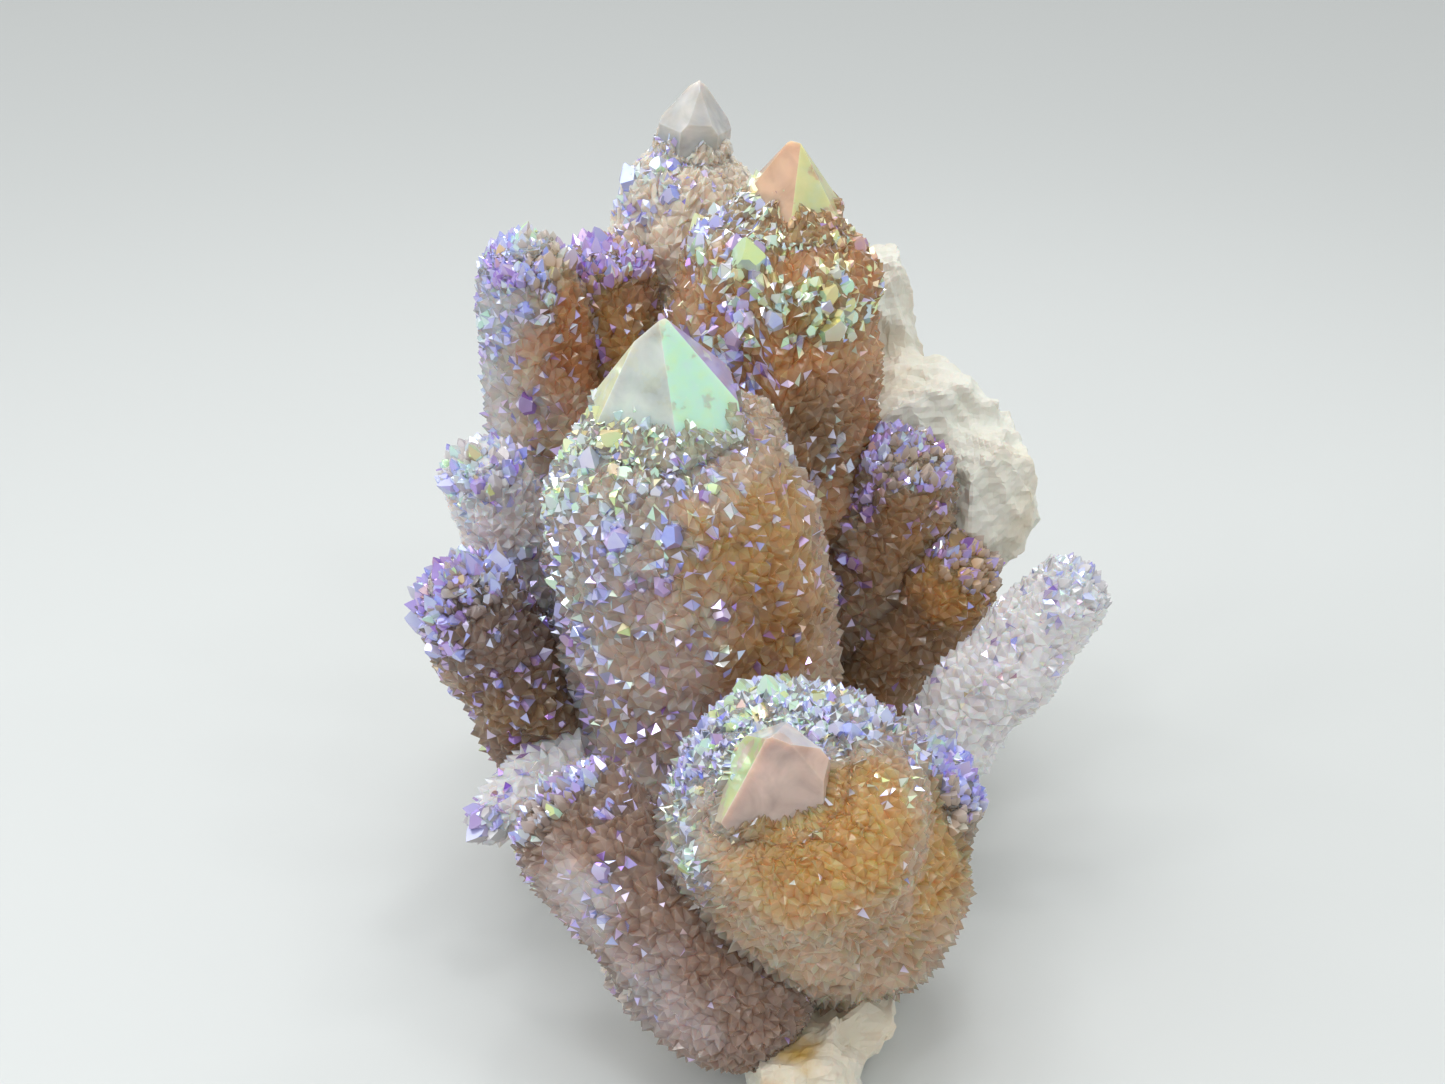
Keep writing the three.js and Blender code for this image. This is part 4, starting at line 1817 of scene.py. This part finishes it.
@dataclass(frozen=True)
class MilkyStone:
    """Dull, granular white quartz with cream and rusty patches and a few stains.

    Attributes:
        name: name of the material.
        white: colour of most of the stone.
        cream: colour of its warmer patches.
        rust: colour of the rarer rusty spots.
        cream_edge: values of the patches' noise between which white turns to cream.
        rust_edge: values between which cream turns to rust.
        roughness: roughness of the grains.
        grain_relief: strength of the grains' bumps, and their depth in millimetres.
        stains: the round stains.
    """

    name: str = "milky_stone"
    white: Triple = (0.69, 0.69, 0.62)
    cream: Triple = (0.70, 0.63, 0.50)
    rust: Triple = (0.45, 0.24, 0.07)
    cream_edge: Pair = (0.45, 0.7)
    rust_edge: Pair = (0.7, 0.82)
    roughness: float = 0.8
    grain_relief: Pair = (0.5, 0.12)
    stains: tuple[Stain, ...] = (
        Stain((4.6, -26.0, 5.8), 2.2, (0.52, 0.31, 0.03)),
        Stain((5.9, -26.6, 4.8), 1.0, (0.36, 0.27, 0.42)),
    )

    def build(self) -> Material:
        """The material's nodes: patches over white, uneven round stains over both, and a granular bump.

        Returns:
            The new material.
        """
        finish = Finish(self.name)
        patches = finish.noise(finish.place, 110.0, 6.0)
        colour = finish.mix(finish.ramp(patches, *self.cream_edge), self.white, self.cream)
        colour = finish.mix(finish.ramp(patches, *self.rust_edge), colour, self.rust)
        for stain in self.stains:
            middle = (np.array(stain.middle) + CENTRING) * MM
            away = finish.add("VectorMath", "Value", {0: finish.place, 1: middle}, operation="DISTANCE")
            uneven = finish.math("MULTIPLY", away, finish.noise(finish.place, 700.0, 4.0))
            strength = finish.ramp(uneven, 0.5 * stain.reach * MM, 0.0, curve="SMOOTHSTEP")
            colour = finish.mix(strength, colour, stain.colour)
        grains = finish.add("TexVoronoi", "Distance", {"Vector": finish.place, "Scale": 1400.0})
        return finish.made({
            "Base Color": colour,
            "Normal": finish.bump(grains, *self.grain_relief),
            "Roughness": self.roughness,
            "Subsurface Weight": 0.15,
            "Subsurface Scale": 1.0 * MM,
        })


# -------- studio


@dataclass(frozen=True)
class Lamp:
    """Square lamp, in millimetres in the growing frame.

    Attributes:
        name: what the lamp is called.
        place: where it hangs.
        target: what it looks at.
        size: length of its side.
        watts: its power.
        colour: colour of its light.
    """

    name: str
    place: Triple
    target: Triple
    size: float
    watts: float
    colour: Triple = (1.0, 1.0, 1.0)


# Places of the small bright lamps whose mirror images glint on the facets.
SPARK_PLACES = (
    (-60, -40, 190), (40, 60, 210), (-120, 90, 150), (90, -60, 180), (-30, -150, 160), (10, 10, 200),
    (-160, -20, 120), (150, 40, 130), (60, -130, 190), (-80, -110, 120), (30, 150, 150), (0, -80, 230),
)

LAMPS = (
    Lamp("overhead", (-90, 75, 630), (0, 0, 15), 500, 1.15),
    Lamp("window", (-650, -150, 370), (0, 0, 20), 375, 0.8, (0.94, 0.97, 1.0)),
    *(Lamp(f"spark_{number}", place, (0, 0, 25), 22, 0.018) for number, place in enumerate(SPARK_PLACES)),
)


@dataclass(frozen=True)
class Studio:
    """Pale table, soft light and the camera, with lengths in millimetres.

    Attributes:
        camera_place: where the camera stands in the growing frame.
        camera_pitch: degrees by which it looks down.
        focal_pixels: focal length in pixels of the image.
        image_width: the image's width in pixels.
        sensor: width of the camera's sensor.
        clip: nearest and farthest distance that the camera sees, in metres.
        table_reach: half the table's width.
        table_grey: its colour.
        sky_colour: colour of the even light from all round.
        sky_strength: strength of that light.
    """

    camera_place: Triple = (0.0, -117.8, 82.6)
    camera_pitch: float = 25.0
    focal_pixels: float = 1900.0
    image_width: float = 1445.0
    sensor: float = 36.0
    clip: Pair = (0.005, 10.0)
    table_reach: float = 1500.0
    table_grey: Triple = (0.61, 0.634, 0.63)
    sky_colour: Triple = (0.98, 0.99, 0.985)
    sky_strength: float = 0.7

    def build(self) -> None:
        """Builds the table, the sky, the camera and the lamps."""
        self._table()
        self._sky()
        self._camera()
        for lamp in LAMPS:
            self._hang(lamp)

    def _table(self) -> None:
        """Plain, wide table top."""
        corners = self.table_reach * np.array([[-1, -1, 0], [1, -1, 0], [1, 1, 0], [-1, 1, 0]])
        paint = Finish("table_paint").made({"Base Color": self.table_grey, "Roughness": 0.6})
        Facets(corners, np.arange(4), np.array([4])).to_object("table", paint)

    def _sky(self) -> None:
        """Even pale light from all round."""
        world = bpy.data.worlds.new("soft_room")
        bpy.context.scene.world = world
        world.use_nodes = True
        sky = world.node_tree.nodes["Background"]
        sky.inputs["Color"].default_value = (*self.sky_colour, 1)
        sky.inputs["Strength"].default_value = self.sky_strength

    def _hang(self, lamp: Lamp) -> None:
        """Adds a lamp that lights the scene and isn't seen itself.

        Args:
            lamp: where it hangs, what it looks at and how it shines.
        """
        light = bpy.data.lights.new(lamp.name, "AREA")
        light.energy, light.size, light.color = lamp.watts, lamp.size * MM, lamp.colour
        holder = add_object(lamp.name, light)
        holder.visible_camera = False
        holder.location = (np.array(lamp.place) + CENTRING) * MM
        towards = Vector(np.array(lamp.target) - np.array(lamp.place))
        holder.rotation_euler = towards.to_track_quat("-Z", "Y").to_euler()

    def _camera(self) -> None:
        """Camera at its place, pitched down, with the lens that gives the focal length in pixels."""
        data = bpy.data.cameras.new("camera")
        data.sensor_width = self.sensor
        data.lens = self.focal_pixels / self.image_width * self.sensor
        data.clip_start, data.clip_end = self.clip
        camera = add_object("camera", data)
        camera.location = (np.array(self.camera_place) + CENTRING) * MM
        camera.rotation_euler = (math.radians(90 - self.camera_pitch), 0, 0)
        bpy.context.scene.camera = camera


# -------- the cluster


POINTS = (
    Point(
        "front_point", (8.4, -9.6, 4), (2.4, -26.5, 27.7), 9.4, CROWNED, 4.3, 8, 11,
        heart=Body.FAWN, skin=Body.MAUVE, rim_side=(-0.34, 0.68, 0.65), film=(0.17, 0.3),
        coverage=(0.05, 0.48), relief=0.62, pitch=0.85,
        crown=Crown(
            Body.PINK,
            cuts=(0.22, -0.2, 0.36, -0.02, 0.25, 0.35),
            films=((Film.PEACH, 0.1), (Film.PEACH, 0.04), (Film.LIME, 0.7), (Film.LIME, 0.75),
                   (Film.PEARL, 0.5), (Film.PEARL, 0.4)),
            climb=0.2,
            shift=(-0.9, 0.6, -0.8),
        ),
        glows=(
            Glow((6.7, -27.5, 22.0), 8.0, Body.HONEY),
            Glow((12.5, -19.5, 15.5), 6.5, Body.HONEY),
        ),
    ),
    Point(
        "middle_point", (-0.6, 4, 6), (-4.2, -4.2, 44.6), 10.1, CROWNED, 5.4, 36, 12,
        heart=Body.FAWN, skin=Body.ROSE, rim_side=(-0.7, -0.1, 0.7), film=(0.08, 0.36),
        coverage=(0.17, 0.36), swing=-0.12,
        crown=Crown(
            Body.SAGE,
            cuts=(0.16, 0.0, -0.04, 0.14, 0.1, 0.2),
            films=((Film.LILAC, 0.6), (Film.MINT, 0.9), (Film.PEARL, 0.2), (Film.LEMON, 0.4),
                   (Film.LEMON, 0.4), (Film.LILAC, 0.6)),
            climb=0.3,
            slimness=1.0,
        ),
        glows=(
            Glow((3.0, -8.0, 30.5), 7.5, Body.HONEY),
            Glow((5.5, -9.0, 24.0), 8.5, Body.AMBER),
        ),
    ),
    Point(
        "rear_point", (1.5, 17, 8), (4.7, 13.5, 51.9), 9.0, HALF_CROWNED, 4.9, 24, 13,
        heart=Body.RUST, skin=Body.TAWNY, rim_side=(-0.15, -0.3, 0.95), film=(0.08, 0.5),
        coverage=(0.08, 0.48), swing=0.16,
        crown=Crown(
            Body.PEACH,
            cuts=(0.2, 0.08, -0.04, 0.1, 0.2, 0.2),
            films=((Film.LIME, 0.5), (Film.LIME, 0.5), (Film.PEACH, 0.1), (Film.PEACH, 0.3),
                   (Film.LEMON, 0.5), (Film.MINT, 0.6)),
            climb=0.5,
        ),
        glows=(Glow((5.2, 5.0, 41.0), 9.0, Body.ORANGE), Glow((8.2, 6.0, 33.0), 7.0, Body.UMBER)),
    ),
    Point(
        "back_point", (-6, 25.5, 10), (-1.7, 24, 54.2), 6.9, HALF_CROWNED, 3.0, 8, 14,
        heart=Body.TAUPE, skin=Body.TAUPE, film=(0.1, 0.25), coverage=(0.04, 0.22), relief=0.4, milky=True,
        crown=Crown(Body.BONE, films=((Film.PEARL, 0.12),) * 6, climb=0.15),
    ),
    Point(
        "left_tall_point", (-10, 17, 8), (-14.4, 12, 46.8), 4.7, BLUNT, 2.4, 0, 15,
        heart=Body.TAWNY, skin=Body.PALE_LILAC, rim_side=(-0.6, -0.1, 0.8), film=(0.1, 0.24),
        coverage=(0.12, 0.4),
        glows=(Glow((-9.0, 11.0, 38.0), 7.0, Body.RUST),),
    ),
    Point(
        "left_inner_point", (-7, 18, 8), (-9, 17.5, 45), 5.2, BLUNT, 2.2, 0, 24,
        heart=Body.RUST, skin=Body.MAUVE, film=(0.08, 0.1), coverage=(0.1, 0.5),
        glows=(Glow((-8.5, 13.0, 37.0), 8.0, Body.AMBER),),
    ),
    Point(
        "left_middle_point", (-9, 10, 6), (-17.4, 2.8, 34), 4.2, BLUNT, 2.0, 0, 16,
        heart=Body.MAUVE, skin=Body.MAUVE, film=(0.1, 0.26), coverage=(0.1, 0.3), relief=0.4, milky=True,
    ),
    Point(
        "left_low_point", (-9, 6, 1), (-18.2, -5, 28.4), 4.6, BLUNT, 2.0, 0, 17,
        heart=Body.DUSK, skin=Body.TAUPE, rim_side=(-0.9, 0.1, 0.5), film=(0.08, 0.16), coverage=(0.2, 0.4),
        glows=(Glow((-13.5, -5.0, 16.0), 7.0, Body.UMBER),),
    ),
    Point(
        "left_chip", (-9, 0, 13), (-16.6, -10, 10.6), 2.5, BLUNT, 1.4, 0, 25,
        heart=Body.MAUVE, skin=Body.PALE_LILAC, coverage=(0.05, 0.2), milky=True,
    ),
    Point(
        "low_upper_point", (4, -24, 4), (-11.4, -16.3, 19), 5.4, BLUNT, 1.8, 0, 18,
        heart=Body.DUSK, skin=Body.DUSK, rim_side=(-0.8, 0.2, 0.6), film=(0.12, 0.14), coverage=(0.06, 0.38),
        pitch=0.8,
        glows=(Glow((-9.5, -23.5, 13.5), 4.8, Body.MAUVE), Glow((-5.0, -26.0, 8.0), 6.0, Body.HEATHER)),
    ),
    Point(
        "low_front_point", (4, -14, 4), (-5.8, -23.4, 11.4), 5.2, BLUNT, 1.8, 0, 19,
        heart=Body.TAUPE, skin=Body.HEATHER, coverage=(0.12, 0.4), pitch=0.75, milky=True,
        glows=(Glow((-0.5, -23.0, 3.0), 5.0, Body.DUSK), Glow((-6.0, -26.0, 12.0), 5.5, Body.MAUVE)),
    ),
    Point(
        "shoulder_point", (8, 15, 6), (14, 10.5, 31.4), 5.3, BLUNT, 1.8, 0, 20,
        heart=Body.UMBER, skin=Body.TAUPE, rim_side=(0.1, -0.2, 1.0), film=(0.08, 0.1), coverage=(0.08, 0.4),
        glows=(Glow((16.3, 5.0, 24.7), 6.0, Body.AMBER),),
    ),
    Point(
        "shoulder_side_point", (8, 14.6, 6), (18.6, 9.4, 23.3), 5.2, BLUNT, 1.8, 0, 21,
        heart=Body.UMBER, skin=Body.UMBER, rim_side=(0.1, -0.2, 1.0), film=(0.08, 0.1), coverage=(0.06, 0.25),
        glows=(Glow((17.5, 6.0, 22.0), 6.0, Body.AMBER),),
    ),
    Point(
        "front_lobe_point", (7, -8, 3), (14.2, -18, 20.2), 4.6, BLUNT, 1.8, 0, 22,
        heart=Body.TAUPE, skin=Body.MAUVE, rim_side=(0.2, 0.1, 1.0), film=(0.1, 0.15), coverage=(0.06, 0.6),
        glows=(Glow((13.0, -20.5, 14.5), 5.0, Body.HONEY),),
    ),
    Point(
        "side_point", (12.6, 0.2, 7), (25.8, 1, 25.6), 3.5, BLUNT, 2.2, 0, 31,
        heart=Body.PALE_LILAC, skin=Body.PALE_LILAC, film=(0.1, 0.2), coverage=(0.05, 0.15), pitch=0.8,
        relief=0.38, sunk=0.05, clear_depth=0.4, milky=True,
    ),
)

STONE = Stone(
    (
        Block((3.5, 4, 4), (10, 17, 6.5)),
        Block((2, 24, 7), (14, 9, 9)),
        Block((8, 28, 20), (11, 5.5, 15)),
        Block((15, 20, 25), (8, 6, 10)),
        Block((19.5, 16, 24), (4.6, 5, 6.5)),
        Block((12, 25.5, 34), (4, 4, 7)),
        Block((7.5, -14.5, 2.8), (4.4, 10, 3.4)),
        Block((5.2, -24.5, 1.8), (3.9, 4.8, 4.6)),
    )
)


def place_piece(piece: Piece, node: str) -> None:
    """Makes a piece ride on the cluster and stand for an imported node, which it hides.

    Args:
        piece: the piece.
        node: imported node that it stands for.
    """
    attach(piece, "root")
    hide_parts(node)
    LOG.info("%s: %d faces", piece.name, len(piece.data.polygons))


def main() -> None:
    """Builds the studio, the stone and every point, in that order."""
    logging.basicConfig(level=logging.INFO, format="%(name)s: %(message)s")
    bpy.context.scene.view_settings.view_transform = "Standard"
    Studio().build()
    effects = SharedEffects()
    heart = CoatedQuartz("massive_quartz", scatter=1.0, film_metal=0.5, veils=0.12).build(effects)
    crust = ClearQuartz().build(effects)
    milky_crust = ClearQuartz("milky_clear_quartz", clearness=0.2).build(effects)
    rim = CoatedQuartz(
        "rim_quartz", film_metal=0.45, facet_roughness=0.12, depth=1.2, tip_colour=(0.74, 0.74, 0.78)
    ).build(effects)
    crystals = CoatedQuartz("coated_crystals", frost=0.6).build(effects)
    smooth = CoatedQuartz(
        "smooth_termination",
        film_metal=0.4,
        facet_roughness=0.16,
        frost=0.0,
        scatter=0.8,
        veils=0.3,
        wear=0.75,
    ).build(effects)
    place_piece(STONE.build(MilkyStone().build()), "matrix")
    spindles = [Spindle(point) for point in POINTS]
    for point in POINTS:
        is_side = point.name == "side_point"
        node, slot = ("side_point", "pale_quartz") if is_side else ("crystal_cluster", "coated_quartz")
        builder = SpiritPoint(point, spindles, STONE)
        place_piece(builder.build_heart(heart), node)
        for piece in builder.build_crust(milky_crust if point.milky else crust, crystals):
            place_piece(piece, node)
        for piece in builder.build_rim(rim):
            place_piece(piece, node)
        if point.crown:
            place_piece(builder.build_termination(smooth), node)


if __name__ == "__main__":
    main()
